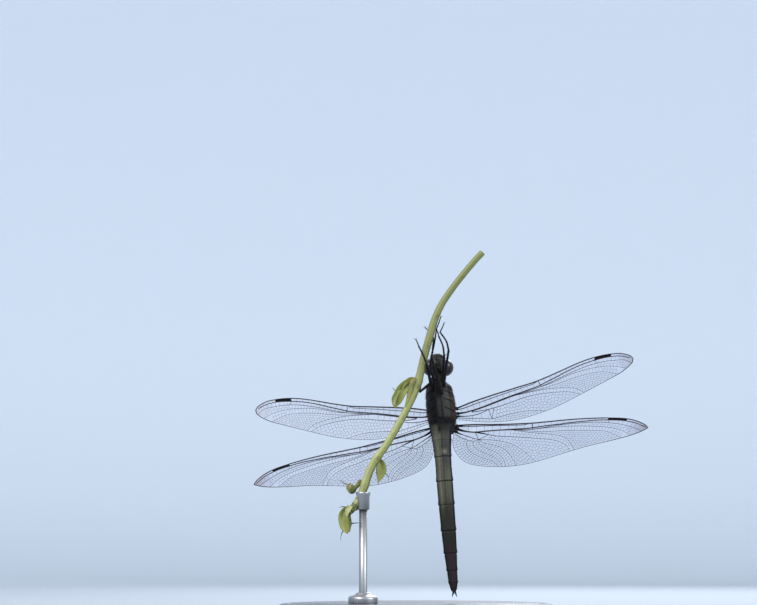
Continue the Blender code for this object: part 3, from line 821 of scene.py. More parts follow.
# Height, half width, reach to the back, reach to the belly and sideways shift of the body's outline.
BODY = [
    (-41.3, 0.36, 0.32, -0.28, 0), (-41.0, 0.54, 0.48, -0.4, 0), (-40.4, 0.7, 0.62, -0.52, 0),
    (-39.5, 0.86, 0.78, -0.63, 0), (-36.8, 1.04, 0.93, -0.78, 0), (-33.1, 1.3, 1.13, -0.93, 0),
    (-28.2, 1.51, 1.23, -0.98, 0), (-22.5, 1.63, 1.33, -1.08, 0), (-17.3, 1.7, 1.43, -1.18, 0),
    (-11.9, 1.74, 1.73, -1.48, 0), (-8.3, 2.03, 2.18, -1.93, 0), (-6.4, 2.2, 2.15, -2.0, 0),
    (-5.9, 2.33, 2.25, -2.28, 0), (-5.2, 2.7, 2.95, -2.85, 0), (-3.8, 3.0, 3.8, -3.45, 0),
    (-1.6, 3.1, 4.4, -3.95, -0.05), (0.6, 3.1, 4.4, -4.15, -0.1), (2.4, 2.9, 3.6, -3.85, -0.2),
    (3.8, 2.58, 2.55, -3.05, -0.25), (4.6, 1.85, 1.8, -2.2, -0.45), (4.95, 1.5, 1.35, -1.65, -0.5),
    (5.3, 1.5, 1.5, -1.7, -0.5), (5.9, 1.4, 1.25, -1.5, -0.5), (6.4, 1.15, 1.05, -1.25, -0.45),
    (7.2, 1.0, 0.9, -1.05, -0.4),
]
# How far the abdomen sits to one side, and how far its end bends to the other over its length.
ABDOMEN_SHIFT = -0.38
ABDOMEN_BEND = 0.5
ABDOMEN_LENGTH = 36.25
SEGMENT_ENDS = (-6.25, -6.9, -8.3, -11.9, -17.3, -22.5, -28.2, -33.1, -36.8, -39.5, -41.0)
BODY_NODES = ["neck", "thorax"] + [f"abdomen_{k:02d}" for k in range(1, 11)]
SUTURES = (2.7, 0.75, -1.25)
SUTURE_SLANT = 3.4

# What the underside's colours are multiplied by, at heights from the tail end to the neck: painted shade on
# the underside, as if lit from behind the back, darkest on the thorax and the rear segments.
BELLY_PAINTED_SHADE = [
    (-41, 0.3), (-37, 0.26), (-30, 0.24), (-24, 0.36), (-20, 0.6), (-8, 0.68), (-6, 0.55), (-4.5, 0.44),
    (5, 0.44),
]

BLACK = np.array((0.009, 0.009, 0.013))
BLUE_BLACK = np.array((0.008, 0.013, 0.024))
DARK_BROWN = np.array((0.02, 0.015, 0.013))
BROWN = np.array((0.05, 0.036, 0.025))
RUST = np.array((0.11, 0.05, 0.022))
PANEL = np.array((0.115, 0.113, 0.1))
OLIVE = np.array((0.125, 0.128, 0.085))
PALE = np.array((0.25, 0.245, 0.175))
FROST = np.array((0.15, 0.18, 0.22))


def bell(x, width):
    """1 at 0, fading over width."""
    return np.exp(-((np.asarray(x, float) / width) ** 2))


def ease(x, start, end):
    """0 at start to 1 at end, with soft ends."""
    t = np.clip((np.asarray(x, float) - start) / (end - start), 0, 1)
    return t * t * (3 - 2 * t)


def paint_over(colour, other, amount):
    """Blends another colour over the first."""
    amount = np.clip(np.asarray(amount, float), 0, 1)[..., None]
    return colour * (1 - amount) + np.asarray(other, float) * amount


def layered(colour, *layers):
    """Blends other colours over the first one after another; layers are (colour, amount)."""
    for other, amount in layers:
        colour = paint_over(colour, other, amount)
    return colour


def ripple(*phases):
    """A smooth, repeatable mottling from -1 to 1 over any number of directions."""
    total = 0
    for k in range(5):
        total = total + np.sin(sum(p * (1.3 + 0.9 * k + 0.37 * i) for i, p in enumerate(phases)) + 1.7 * k)
    return total / 5


def segment_share(z):
    """How far along its segment a place on the abdomen is: 0 at the front, 1 at the rear; and its number."""
    ends = -np.array(SEGMENT_ENDS)
    k = np.clip(np.searchsorted(ends, -z, side="right") - 1, 0, len(ends) - 2)
    return (-z - ends[k]) / (ends[k + 1] - ends[k]), k + 1


def suture_lines(side):
    """The heights of the seams on the thorax's flank, which slant; side is 0 at the back, 1 at the belly."""
    return [start - SUTURE_SLANT * (1 - side) for start in SUTURES]


def body_relief(z, a):
    """Ridges, grooves and rings on the body, in millimetres outwards."""
    side = np.abs(a) / pi
    out = np.zeros_like(z)
    on_thorax = ease(z, -5.3, -4.6) * (1 - ease(z, 4.1, 4.5))
    for line in suture_lines(side):
        out -= 0.13 * bell(z - line, 0.1) * on_thorax * ease(side, 0.3, 0.4) * (1 - ease(side, 0.9, 0.95))
        out += 0.05 * bell(z - line - 0.28, 0.2) * on_thorax * ease(side, 0.3, 0.4)
    # the ridge down the front of the back, and the humps of the two wing-bearing plates
    out += 0.16 * bell(a, 0.07) * ease(z, 0.8, 1.4) * on_thorax
    out -= 0.1 * bell(np.abs(a) - 0.95, 0.06) * ease(z, 0.3, 0.8) * on_thorax
    between_wings = (1 - ease(side, 0.24, 0.33)) * (1 - ease(z, 0.3, 0.7)) * ease(z, -5.4, -5.0)
    out += between_wings * (-0.35 + 0.5 * bell(z + 0.9, 0.8) + 0.28 * bell(z + 2.1, 0.35)
                            + 0.42 * bell(z + 3.6, 0.7) + 0.2 * bell(z + 4.7, 0.3))
    out -= between_wings * 0.2 * bell(np.abs(a) - 0.42, 0.08)
    # the belly's middle plate behind the legs
    out -= 0.15 * bell(side - 0.935, 0.012) * ease(z, -4.2, -3.6) * (1 - ease(z, 0.2, 1.0))
    out += 0.1 * ease(side, 0.955, 0.98) * ease(z, -4.2, -3.6) * (1 - ease(z, 0.2, 1.0))
    out += 0.03 * ripple(3.1 * z, 7 * np.cos(a), 6 * np.sin(a)) * on_thorax
    # abdomen: segments that flare behind, tucked-in fronts, side keels, folded plates on the belly
    share, number = segment_share(z)
    belly = ease(side, 0.55, 0.65)
    on_abdomen = 1 - ease(z, -6.3, -6.2)
    edge = np.sin(a) ** 8
    flare = 0.1 * ease(share, 0.72, 1.0) * (0.35 + edge) * (number < 10)
    out += on_abdomen * (flare - 0.1 * bell(share, 0.05) - 0.03 * bell(share - 1, 0.03))
    out += on_abdomen * 0.08 * bell(np.abs(a) - 1.72, 0.07)
    flap = bell(np.abs(a) - 2.72, 0.05)
    out -= on_abdomen * 0.07 * flap * ease(share, 0.03, 0.1)
    out += on_abdomen * 0.05 * bell(side - 1, 0.03)
    out += on_abdomen * 0.07 * bell(a, 0.05) * (number > 1)
    out -= on_abdomen * 0.06 * bell(share - 0.42, 0.025) * ((number == 3) | (number == 4)) * (side < 0.6)
    slit = bell((z + 6.6) / 1.1, 1.0) * bell(side - 1, 0.045)
    out -= on_abdomen * 0.16 * slit * belly
    out += on_abdomen * 0.16 * bell(side - 0.93, 0.03) * bell(z + 7.4, 0.9)
    # neck: the collar behind the head, its two lobes on the back, the hips' sockets and folded skin
    rings = 0.07 * bell(z - 5.35, 0.16) - 0.12 * bell(z - 4.85, 0.1) - 0.06 * bell(z - 5.7, 0.1)
    lobes = (0.2 * bell(z - 5.4, 0.28) * bell(np.abs(a) - 0.5, 0.3)
             + 0.13 * bell(z - 5.5, 0.3) * bell(np.abs(a) - 2.2, 0.3))
    folds = 0.045 * ease(z, 5.0, 5.4) * ripple(9 * z, 2.5 * np.cos(a), 3 * np.sin(a))
    return out + rings + lobes + folds - 0.07 * ease(z, 4.9, 5.2) * bell(a, 0.12)


def body_tint(z, a):
    """The body's painted pattern, with painted shade on the underside and a pale panel painted lit on one
    flank of the thorax.
    """
    side = np.abs(a) / pi
    u = np.sin(a)
    belly = ease(-np.cos(a), -0.1, 0.15)
    mottle = ripple(2.1 * z, 5 * np.cos(a), 9 * u)
    fine = ripple(7.3 * z, 13 * np.cos(a), 17 * u)
    # thorax and neck; the pale panel is painted on the left flank only, as lit there, and the right flank's
    # wide dark band is partly painted shade
    one_side_lit_panel = belly * ease(u, 0.19, 0.24) * (1 - ease(u, 0.62, 0.72)) * ease(z, -3.9, -3.3)
    one_side_lit_panel = one_side_lit_panel * (1 - ease(z, 4.0, 4.4))
    left = belly * (1 - ease(u, -0.9, -0.55))
    seams_and_painted_shade = belly * np.clip(bell(u + 0.36, 0.17) + bell(np.abs(u) - 0.17, 0.035), 0, 1)
    middle = belly * (1 - ease(np.abs(u), 0.11, 0.15)) * ease(z, -3.7, -3.3) * (1 - ease(z, -0.2, 0.8))
    breast = belly * (1 - ease(np.abs(u), 0.35, 0.5)) * ease(z, 0.4, 1.2) * (1 - ease(u, 0.15, 0.19))
    stripe = bell(z - 0.35 - 0.25 * u, 0.13) * ease(u, 0.45, 0.5) * belly
    shoulder = bell(np.abs(a) - 0.6, 0.12) * ease(z, 0.6, 1.2) * (1 - ease(z, 3.6, 4.1))
    between_wings = (1 - ease(side, 0.24, 0.34)) * (1 - ease(z, 0.3, 0.9))
    front = layered(
        np.broadcast_to(DARK_BROWN, z.shape + (3,)) * (1 + 0.25 * mottle[..., None]),
        (BROWN, 0.5 * ease(mottle, -0.2, 0.8)),
        # the pale plate, painted lit on this one flank only
        (PANEL * 1.15, one_side_lit_panel * (0.75 + 0.2 * fine)),
        (RUST * 1.1, 0.7 * bell(u - 0.83, 0.12) * (1 - ease(z, 0.2, 2.0)) * ease(z, -5, -3)
         * ease(-np.cos(a), -0.8, 0.2)),
        (BROWN * 1.4, 0.8 * left * ease(mottle, 0.0, 0.5)),
        (RUST, 0.9 * left * bell(z + 3.2, 0.9) + 0.6 * left * bell(z - 2.2, 0.7) * ease(fine, 0, 0.4)),
        # dark seams either side of the middle plate, and on the right flank a wider band that is partly
        # painted shade
        (BLUE_BLACK * 0.5, seams_and_painted_shade * ease(z, -4.4, -3.9)),
        (PANEL * 0.6, middle),
        (BLACK, breast),
        (PALE, 0.4 * stripe * (1 - ease(u, 0.9, 0.97))),
        *((BLACK, 0.85 * bell(z - line, 0.13) * ease(side, 0.3, 0.4) * (1 - ease(side, 0.86, 0.9)))
          for line in suture_lines(side)),
        (BLACK, 0.95 * (1 - ease(z, -4.1, -3.6)) * ease(side, 0.4, 0.6)),
        ((0.12, 0.105, 0.06), 0.7 * shoulder),
        (FROST * 0.55, 0.8 * between_wings * ease(mottle, -0.9, 0.4)),
        (RUST * 0.4, 0.5 * bell(z - 5.35, 0.3)),
    )
    # abdomen
    share, number = segment_share(z)
    fade = ease(-z, 17.0, 34.0)
    under = layered(
        OLIVE * (1 - fade[..., None]) + DARK_BROWN * 1.6 * fade[..., None],
        (OLIVE * 0.5, 0.75 * ease(-z, 21.0, 23.5) * (1 - ease(-z, 30, 34))),
        (PANEL * 0.62, ease(u, -0.05, 0.15) * (1 - ease(-z, 12.5, 16))),
        (PALE, 0.7 * bell(u + 0.42, 0.17) * (1 - ease(-z, 21, 26))),
        (PALE * 1.25, 0.95 * bell(z + 10.9, 0.5) * bell(u - 0.25, 0.3) * ease(fine, -0.7, 0.1)),
    )
    slit = bell((z + 5.9) / 1.15, 1.0) ** 2 * bell(u + 0.09, 0.15)
    midline = bell(u - 0.06, 0.06) * ease(-z, 7.0, 8.0) * (1 - ease(-z, 24, 28))
    margin_start = 0.84 - 0.14 * ease(-z, 16, 32)
    under = layered(
        under * (1 + 0.16 * fine[..., None] + 0.1 * mottle[..., None]),
        (BLACK, slit * 0.95),
        (DARK_BROWN, np.clip(midline * (0.75 + 0.4 * mottle), 0, 1)),
        (RUST * 1.2, 0.4 * bell(u + 0.6, 0.12) * ease(fine, 0.0, 0.6) * bell(z + 14, 4.0)),
        (DARK_BROWN, 0.5 * bell(np.abs(u - 0.06) - 0.3, 0.03) * ease(-z, 12, 17)),
        ((0.09, 0.06, 0.075), 0.8 * ease(-z, 29, 34)),
        (BLUE_BLACK * 0.6, ease(np.abs(u), margin_start - 0.06, margin_start + 0.05)),
    )
    upper = layered(
        FROST * (1 + 0.15 * mottle[..., None] + 0.1 * fine[..., None]),
        (BLUE_BLACK, ease(-z, 30.5, 34.5)),
        (BLUE_BLACK, 0.8 * bell(u, 0.05) + 0.9 * ease(np.abs(u), 0.8, 0.95)),
    )
    ring = np.clip(bell(share - 1, 0.026) + bell(share, 0.026), 0, 1) * (number > 1)
    ring = ring * (1 - 0.8 * belly * bell(z + 8.3, 0.5)) * (1 - 0.5 * belly * bell(z + 22.5, 0.6))
    cross_keel = bell(share - 0.42, 0.02) * ((number == 3) | (number == 4)) * (1 - 0.75 * belly)
    abdomen = layered(
        under * belly[..., None] + upper * (1 - belly[..., None]),
        (BLACK, 0.95 * ring),
        (DARK_BROWN, 0.45 * cross_keel),
    )
    mix = ease(z, -5.5, -4.7)[..., None]
    # the underside darkened by painted shade
    depth = np.interp(z, *np.transpose(BELLY_PAINTED_SHADE))
    with_painted_belly_shade = (abdomen * (1 - mix) + front * mix) * (1 - belly * (1 - depth))[..., None]
    return np.clip(with_painted_belly_shade, 0.003, 1)


def body_place(z, a, out=0.0):
    """Places on the body's skin, in the body frame, at height z and angle a from the back."""
    z, a = np.asarray(z, float), np.asarray(a, float)
    half, back, belly, middle = np.moveaxis(read(BODY, z), -1, 0)
    bend = ABDOMEN_BEND * (np.maximum(SEGMENT_ENDS[0] - z, 0) / ABDOMEN_LENGTH) ** 2
    middle = middle + ABDOMEN_SHIFT * ease(-z, 4.6, 6.8) + bend
    x = half * np.sin(a) * (1 - 0.12 * np.cos(a))
    y = np.where(np.cos(a) > 0, back, -belly) * np.cos(a)
    bump = body_relief(z, a) + out
    size = np.maximum(np.hypot(x, y), 0.1)
    return np.stack([middle + x * (1 + bump / size), y * (1 + bump / size), z], -1)


def shell_material(name, rough=0.5, coat=0.0):
    """Insect skin: the painted pattern, finely grained and slightly glossy."""
    paint = Paint(name, Coat_Weight=coat, Coat_Roughness=0.3, Specular_IOR_Level=0.12)
    grain = paint.noise(9.0)
    blotch = paint.noise(1.7)
    pits = paint.noise(26.0, 2.0)
    paint.bump(paint.mix(0.4, grain, pits), 0.6, 0.025)
    paint.rough(paint.level(blotch, rough - 0.1, rough + 0.15, 0.3, 0.7))
    shade = paint.ramp(blotch, (0.25, (0.72, 0.72, 0.72)), (0.75, (1.0, 1.0, 1.0)))
    return paint.colour(paint.mix(1.0, paint.tint(), shade, "MULTIPLY"))


def finish(shape, name, material, nodes):
    """Makes the piece, puts it on the frame's one row and has it stand for its CAD nodes."""
    made = shape.make(name, material)
    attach(made, "root")
    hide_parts(*nodes)
    return made


def make_body():
    """The skin of neck, thorax and abdomen in one piece, the claspers, and the hairs."""
    waist = -6.0
    z = np.concatenate([np.arange(BODY[0][0], waist, 0.075), np.arange(waist, BODY[-1][0], 0.055)])
    around = 150
    grid_z, grid_a = np.meshgrid(z, turns(around) - pi, indexing="ij")
    skin = Shape("tint")
    points = from_body(body_place(grid_z, grid_a)).reshape(-1, 3)
    tints = body_tint(grid_z, grid_a).reshape(-1, 3)
    ends = from_body([(0.09, 0.0, -41.34), (-0.4, 0.0, 7.3)])
    skin.add_rings(points, around, ends, tint=np.vstack([tints, BLACK, BLACK]))
    finish(skin, "body_skin", shell_material("body_skin"), BODY_NODES)

    claspers = Shape("tint")
    for x, y, length, thick in ((-0.2, 0.16, 1.55, 0.15), (0.2, 0.16, 1.55, 0.15), (0.0, -0.2, 0.8, 0.16)):
        t = np.linspace(0, 1, 14)
        spread_out = np.sign(x) * 0.34
        lift = y + 0.12 * np.sin(pi * t) * np.sign(y)
        line = np.stack([0.09 + x + spread_out * t**1.6, lift, -41.0 - length * t], 1)
        radii = thick * (0.75 + 0.5 * np.sin(pi * t**0.7)) * (1 - 0.85 * t**3)
        tube(claspers, from_body(line), radii, 12, tint=BLUE_BLACK)
    nodes = ["cercus_left", "cercus_right", "epiproct"]
    finish(claspers, "claspers", shell_material("claspers", 0.35), nodes)
    make_body_hair()


def hair_shape():
    """A shape whose points also have a place in their coat's map."""
    return Shape("u", "v", "tint")


def coat_place(across, along_it):
    """Places in a coat's map, kept inside its border, for shares from 0 to 1 of each way across it."""
    return np.stack([across, along_it], 1) * 0.96 + 0.02


def add_hairs(shape, roots, normals, lengths, lean, tint, uv, random, thick=0.014):
    """Fine three-sided hairs, each a little bent and with a small patch of its own in the coat's map."""
    count = len(roots)
    sideways = unit(np.cross(normals, random.normal(size=(count, 3))))
    other = np.cross(normals, sideways)
    direction = unit(normals + np.asarray(lean) + 0.35 * sideways * random.normal(size=(count, 1)))
    bend = sideways * random.uniform(-0.25, 0.25, (count, 1)) + np.asarray(lean) * 0.3
    rows = []
    for t, wide in ((0.0, 1.0), (0.5, 0.7)):
        middle = roots + lengths[:, None] * (direction * t + bend * t * t)
        for j in range(3):
            angle = 2 * pi * j / 3
            rows.append(middle + (sideways * cos(angle) + other * sin(angle)) * thick * wide)
    rows.append(roots + lengths[:, None] * (direction + bend))
    points = np.stack(rows, 1)
    base = np.arange(count)[:, None] * 7
    faces3 = np.concatenate([base + np.array(f) for f in ((3, 4, 6), (4, 5, 6), (5, 3, 6), (2, 1, 0))])
    faces4 = np.concatenate([base + np.array(f) for f in ((0, 1, 4, 3), (1, 2, 5, 4), (2, 0, 3, 5))])
    patch = 0.0015
    spots = np.array([(-1, -1), (1, -1), (0, 1), (-0.5, 0), (0.5, 0), (0, 0.5), (0, 0)]) * patch
    flat = uv[:, None] + spots[None]
    before = shape.count
    shape.add(points.reshape(-1, 3), faces4, u=flat[..., 0].ravel(), v=flat[..., 1].ravel(),
              tint=np.repeat(tint, 7, axis=0))
    shape.faces.append(faces3 + before)


def finish_hair(shape, name, material, nodes):
    """Makes a coat piece with its map of root places."""
    made = finish(shape, name, material, nodes)
    mesh = made.data
    layer = mesh.uv_layers.new(name="OFBake")
    corner_points = np.empty(len(mesh.loops), np.int32)
    mesh.loops.foreach_get("vertex_index", corner_points)
    u, v = (np.concatenate(shape.values[key])[corner_points] for key in ("u", "v"))
    layer.data.foreach_set("uv", np.stack([u, v], 1).astype(np.float32).ravel())
    return made


def hair_material(name):
    """Dull hairs, some of them darker."""
    paint = Paint(name, Roughness=0.6)
    patches, light = paint.noise(0.8), paint.tint()
    darker = paint.mix(1.0, paint.tint(), (0.5, 0.5, 0.5), "MULTIPLY")
    return paint.colour(paint.mix(patches, light, darker))


def make_body_hair():
    """Short hairs on the thorax and, fewer and shorter, along the abdomen."""
    random = np.random.default_rng(5)
    stretches = ((-5.0, 4.7, 5200), (-12, -5.5, 900), (-40, -12, 1300))
    z = np.concatenate([random.uniform(low, high, count) for low, high, count in stretches])
    a = random.uniform(-pi, pi, len(z))
    step = 0.01
    root = body_place(z, a, -0.02)
    normal = unit(np.cross(body_place(z, a + step) - root, body_place(z + step * 2, a) - root))
    outward = root * (1, 1, 0)
    normal = normal * np.sign((normal * outward).sum(-1, keepdims=True))
    thorax = z > -5.3
    lengths = np.where(thorax, random.uniform(0.25, 0.65, len(z)), random.uniform(0.1, 0.28, len(z)))
    # the pale hairs are darkened to 0.45 on the underside: painted shade, as on the skin there
    pale = np.array((0.14, 0.115, 0.08)) * np.where(np.cos(a) > 0, 1.0, 0.45)[:, None]
    dark = np.array((0.014, 0.011, 0.01))
    share = random.uniform(0, 1, len(z))[:, None]
    tints = np.where(share < 0.4, pale, dark)
    uv = coat_place((a + pi) / (2 * pi), (z + 42) / 50)
    hair = hair_shape()
    add_hairs(hair, from_body(root), normal @ BODY_TURN.T, lengths, (0, 0, -0.25), tints, uv, random, 0.011)
    finish_hair(hair, "body_hair", hair_material("body_hair"), BODY_NODES)


# --- head -----------------------------------------------------------------------------------------

HEAD_NODES = ["head", "face", "mouthparts"]
HEAD_PLACE = (-0.2, -0.1, 8.7)
HEAD_TURN = np.array(Matrix.Rotation(radians(6), 3, "Y"))
HEAD_MIDDLE = np.array((0.0, -0.9, 0.2))
# Middle and radii of the egg shapes whose blend makes the head.
HEAD_EGGS = (
    ((0, -0.3, -0.2), (2.05, 1.8, 1.7)),
    ((0, -0.1, 1.15), (1.8, 1.8, 1.48)),
    ((0, -1.65, -0.2), (1.65, 1.0, 1.65)),
)
EYE = ((1.6, 0.5, -0.4), (1.86, 2.2, 1.9))


def from_head(points):
    return from_body(np.asarray(points, float) @ HEAD_TURN.T + np.array(HEAD_PLACE))


def egg_reach(direction, middle, radii):
    """How far the surface of an egg shape is from the head's middle in a direction."""
    d = direction / np.array(radii)
    o = (HEAD_MIDDLE - np.array(middle)) / np.array(radii)
    b, c = (d * o).sum(-1), (o * o).sum() - 1
    dd = (d * d).sum(-1)
    return (-b + np.sqrt(np.maximum(b * b - dd * c, 0))) / dd


def head_surface(direction):
    """Places on the head's skin in directions from its middle, and their tints."""
    power = 12.0
    reach = sum(egg_reach(direction, *egg) ** power for egg in HEAD_EGGS) ** (1 / power) * 0.985
    p = HEAD_MIDDLE + direction * reach[..., None]
    x, y, z = np.moveaxis(p, -1, 0)
    ax = np.abs(x)
    front = ease(z, 0.5, 1.0)
    under = ease(-y, 1.35, 1.75)
    groove = np.zeros_like(x)
    groove -= 0.1 * front * bell(y + 0.05 + 0.12 * ax, 0.07) * (1 - ease(ax, 1.3, 1.5))
    groove -= 0.07 * front * bell(y + 0.68, 0.06) * (1 - ease(ax, 1.1, 1.3))
    groove -= 0.1 * front * bell(y + 1.2 - 0.08 * ax, 0.06) * (1 - ease(ax, 1.2, 1.4))
    groove -= 0.13 * bell(y + 1.78 - 0.2 * z, 0.07) * ease(z, 0.1, 0.5)
    # the lower lip: two side lobes with a seam between, and a small middle lobe at its base
    groove -= 0.13 * under * bell(x, 0.05) * ease(z, -0.75, -0.6) * (1 - ease(z, 1.2, 1.4))
    lobe_edge = np.hypot(x / 0.95, (z + 1.55) / 0.95) - 1
    groove -= 0.13 * under * bell(lobe_edge, 0.07)
    groove += 0.05 * under * (lobe_edge < 0)
    groove -= 0.1 * under * bell(ax - 1.32, 0.06) * ease(z, -1.3, -1.0)
    groove += 0.12 * bell(x, 0.45) * bell(y - 0.7, 0.5) * ease(z, 1.2, 1.8)
    groove -= 0.12 * bell(x, 0.07) * ease(y, -0.1, 0.3) * ease(z, 1.3, 1.8)
    neck_hollow = bell(np.hypot(x, y + 0.2) / 1.0, 1.0) * ease(-z, 1.2, 1.6)
    groove -= 0.25 * neck_hollow
    groove += 0.012 * ripple(9 * x, 11 * y, 8 * z)
    p = p + direction * groove[..., None]
    mottle = ripple(4 * x, 5 * y, 4 * z)
    tint = layered(
        np.broadcast_to(DARK_BROWN, p.shape) * (1 + 0.2 * mottle[..., None]),
        ((0.045, 0.04, 0.028), 0.7 * front * (1 - ease(y, -0.1, 0.1)) * (1 - ease(ax, 1.1, 1.5))),
        ((0.04, 0.032, 0.022), 0.7 * under * (lobe_edge > 0) * ease(ax, 0.25, 0.5)),
        (BLACK, 0.85 * under * bell(x, 0.25)),
        ((0.015, 0.022, 0.035), 0.9 * ease(y, 0.0, 0.4) * ease(z, 0.6, 1.2)),
        (RUST * 0.5, 0.5 * ease(-z, 0.9, 1.6) * ease(ax, 0.8, 1.5)),
        (BLACK, 0.9 * (groove < -0.06)),
    )
    return p, tint * 0.42


def make_head_skin():
    """The skin of head, face and mouthparts in one piece."""
    skin = Shape("tint")
    rows, around = 150, 240
    p, t = np.meshgrid(pi * (np.arange(rows) + 0.5) / rows, turns(around), indexing="ij")
    direction = np.stack([np.sin(p) * np.cos(t), np.sin(p) * np.sin(t), np.cos(p)], -1)
    places, tints = head_surface(direction)
    poles, pole_tints = head_surface(np.array([(0, 0, 1.0), (0, 0, -1.0)]))
    points = from_head(np.vstack([places.reshape(-1, 3), poles]))
    tints = np.vstack([tints.reshape(-1, 3), pole_tints])
    skin.add_rings(points[:-2], around, points[-2:], flip=True, tint=tints)
    finish(skin, "head_skin", shell_material("head_skin", 0.36, 0.18), HEAD_NODES)


def make_eyes():
    """The two compound eyes and the three simple ones."""
    eye_look = eye_material()
    for side, name in ((1, "eye_left"), (-1, "eye_right")):
        eye = Shape("tint")
        rows, around = 90, 120
        p, t = np.meshgrid(pi * np.linspace(0.001, 0.999, rows), turns(around), indexing="ij")
        globe = np.stack([np.sin(p) * np.cos(t), np.cos(p), np.sin(p) * np.sin(t)], -1)
        local = (globe * np.array(EYE[1]) + np.array(EYE[0])) * np.array((side, 1, 1))
        tints = layered(
            np.broadcast_to((0.007, 0.005, 0.006), globe.shape),
            ((0.045, 0.014, 0.009), ease(globe[..., 1], -0.5, 0.6)),
            ((0.03, 0.022, 0.018), 0.6 * ease(-globe[..., 1], 0.55, 0.9)),
        )
        quads = grid_faces(rows, around, closed=True, flip=side > 0)
        eye.add(from_head(local).reshape(-1, 3), quads, tint=tints.reshape(-1, 3))
        finish(eye, f"{name}_ball", eye_look, [name])

    ocelli = Shape("tint")
    for place, radius in (((0, 1.15, 2.12), 0.16), ((0.42, 1.5, 1.75), 0.12), ((-0.42, 1.5, 1.75), 0.12)):
        heights = np.linspace(-1, 1, 14)
        line = np.array(place) + np.outer(heights * radius, (0, 0.4, 0.9))
        radii = radius * np.sqrt(np.maximum(1 - heights**2, 0.003))
        tube(ocelli, from_head(line), radii, 18, tint=(0.12, 0.1, 0.08))
    finish(ocelli, "ocelli", eye_look, ["head"])


def make_feelers():
    """The two bristle-like feelers, thicker at the root."""
    for side, name in ((1, "antenna_left"), (-1, "antenna_right")):
        feeler = Shape("tint")
        t = np.linspace(0, 1, 30)
        root = np.array((side * 0.72, 1.35, 1.95))
        aim = unit(np.array((side * 0.4, 0.75, 0.55)))
        line = root + np.outer(3.2 * t - 0.3, aim) + np.outer(0.5 * t**2, (side * 0.2, -0.6, 0.6))
        radii = np.where(t < 0.1, 0.17, np.where(t < 0.2, 0.12, 0.075 * (1 - 0.75 * t)))
        tube(feeler, from_head(line), radii, 10, tint=BLACK * 1.5)
        finish(feeler, f"{name}_bristle", shell_material(name, 0.35), [name])


def make_head_hair():
    """Short hairs on the face and under the head."""
    random = np.random.default_rng(9)
    count = 1500
    direction = unit(random.normal(size=(count, 3)))
    direction = direction[(direction[:, 2] > 0.15) | (direction[:, 1] < -0.4)]
    root, _ = head_surface(direction)
    lengths = random.uniform(0.15, 0.45, len(root))
    hair = hair_shape()
    uv = coat_place(np.arctan2(direction[:, 1], direction[:, 0]) / (2 * pi) + 0.5, (direction[:, 2] + 1) / 2)
    tints = np.where(random.uniform(0, 1, (len(root), 1)) < 0.5, (0.05, 0.04, 0.03), (0.01, 0.008, 0.008))
    outward = direction @ HEAD_TURN.T @ BODY_TURN.T
    roots = from_head(root - direction * 0.02)
    add_hairs(hair, roots, outward, lengths, (0, 0, 0.1), tints, uv, random, 0.009)
    finish_hair(hair, "head_hair", hair_material("head_hair"), HEAD_NODES)


def make_head():
    make_head_skin()
    make_eyes()
    make_feelers()
    make_head_hair()


def eye_material():
    """Dark compound eyes: tiny facets under a thin clear coat."""
    paint = Paint("eye", Coat_Weight=0.25, Coat_Roughness=0.1, Roughness=0.36, Specular_IOR_Level=0.2)
    place = paint.node("TexCoord").outputs["Object"]
    scaled = paint.node("Mapping", Vector=place, Scale=[1 / MM] * 3).outputs[0]
    facets = paint.node("TexVoronoi", Vector=scaled, Scale=14.0).outputs["Distance"]
    paint.bump(facets, 0.35, 0.012)
    glow = paint.ramp(paint.noise(0.5, 2.0), (0.35, (0.6, 0.55, 0.6)), (0.7, (1.25, 1.0, 0.95)))
    return paint.colour(paint.mix(1.0, paint.tint(), glow, "MULTIPLY"))


# --- legs -----------------------------------------------------------------------------------------

# Hip in the body frame; knee, ankle and claw in the model's frame; and how the shin bows at its middle.
LEGS = {
    "leg_fore_left": ((1.0, -2.7, 4.8), (-0.8, -2.4, 59.1), (-2.0, -4.2, 63.1), (-2.5, -4.5, 64.7), 0.3),
    "leg_fore_right": ((-1.8, -2.9, 4.1), (-6.1, -2.6, 51.1), (-5.3, -3.0, 56.7), (-5.1, -3.2, 59.3), -0.1),
    "leg_mid_left": ((1.3, -3.8, 3.7), (0.15, -3.4, 60.0), (-1.75, -5.2, 63.9), (-0.9, -5.7, 65.7), 0.45),
    "leg_mid_right": ((-1.4, -4.7, 3.2), (-4.75, -6.2, 57.0), (-6.4, -7.0, 60.6), (-7.0, -6.7, 62.1), 0.1),
    "leg_hind_left": ((0.8, -4.5, 2.0), (-3.6, -3.1, 58.7), (-2.45, -4.0, 64.8), (-1.55, -4.2, 67.3), 0.1),
    "leg_hind_right": ((-0.4, -4.3, 2.0), (-3.8, -1.3, 56.8), (-3.1, -2.8, 63.0), (-4.9, -3.3, 65.1), 0.1),
}


# Spines in each row along a thigh or shin.
SPINES = 9


def spike(shape, root, direction, length, radius, bend=(0, 0, 0)):
    """A small bent cone."""
    t = np.linspace(0, 1, 5)[:, None]
    line = np.asarray(root) + np.asarray(direction) * length * t + np.asarray(bend) * t**2
    aside = (0, 1, 0) if abs(unit(np.asarray(direction, float))[1]) < 0.9 else (1, 0, 0)
    tube(shape, line, radius * (1 - 0.93 * t[:, 0]), 5, up=aside, tint=BLACK)


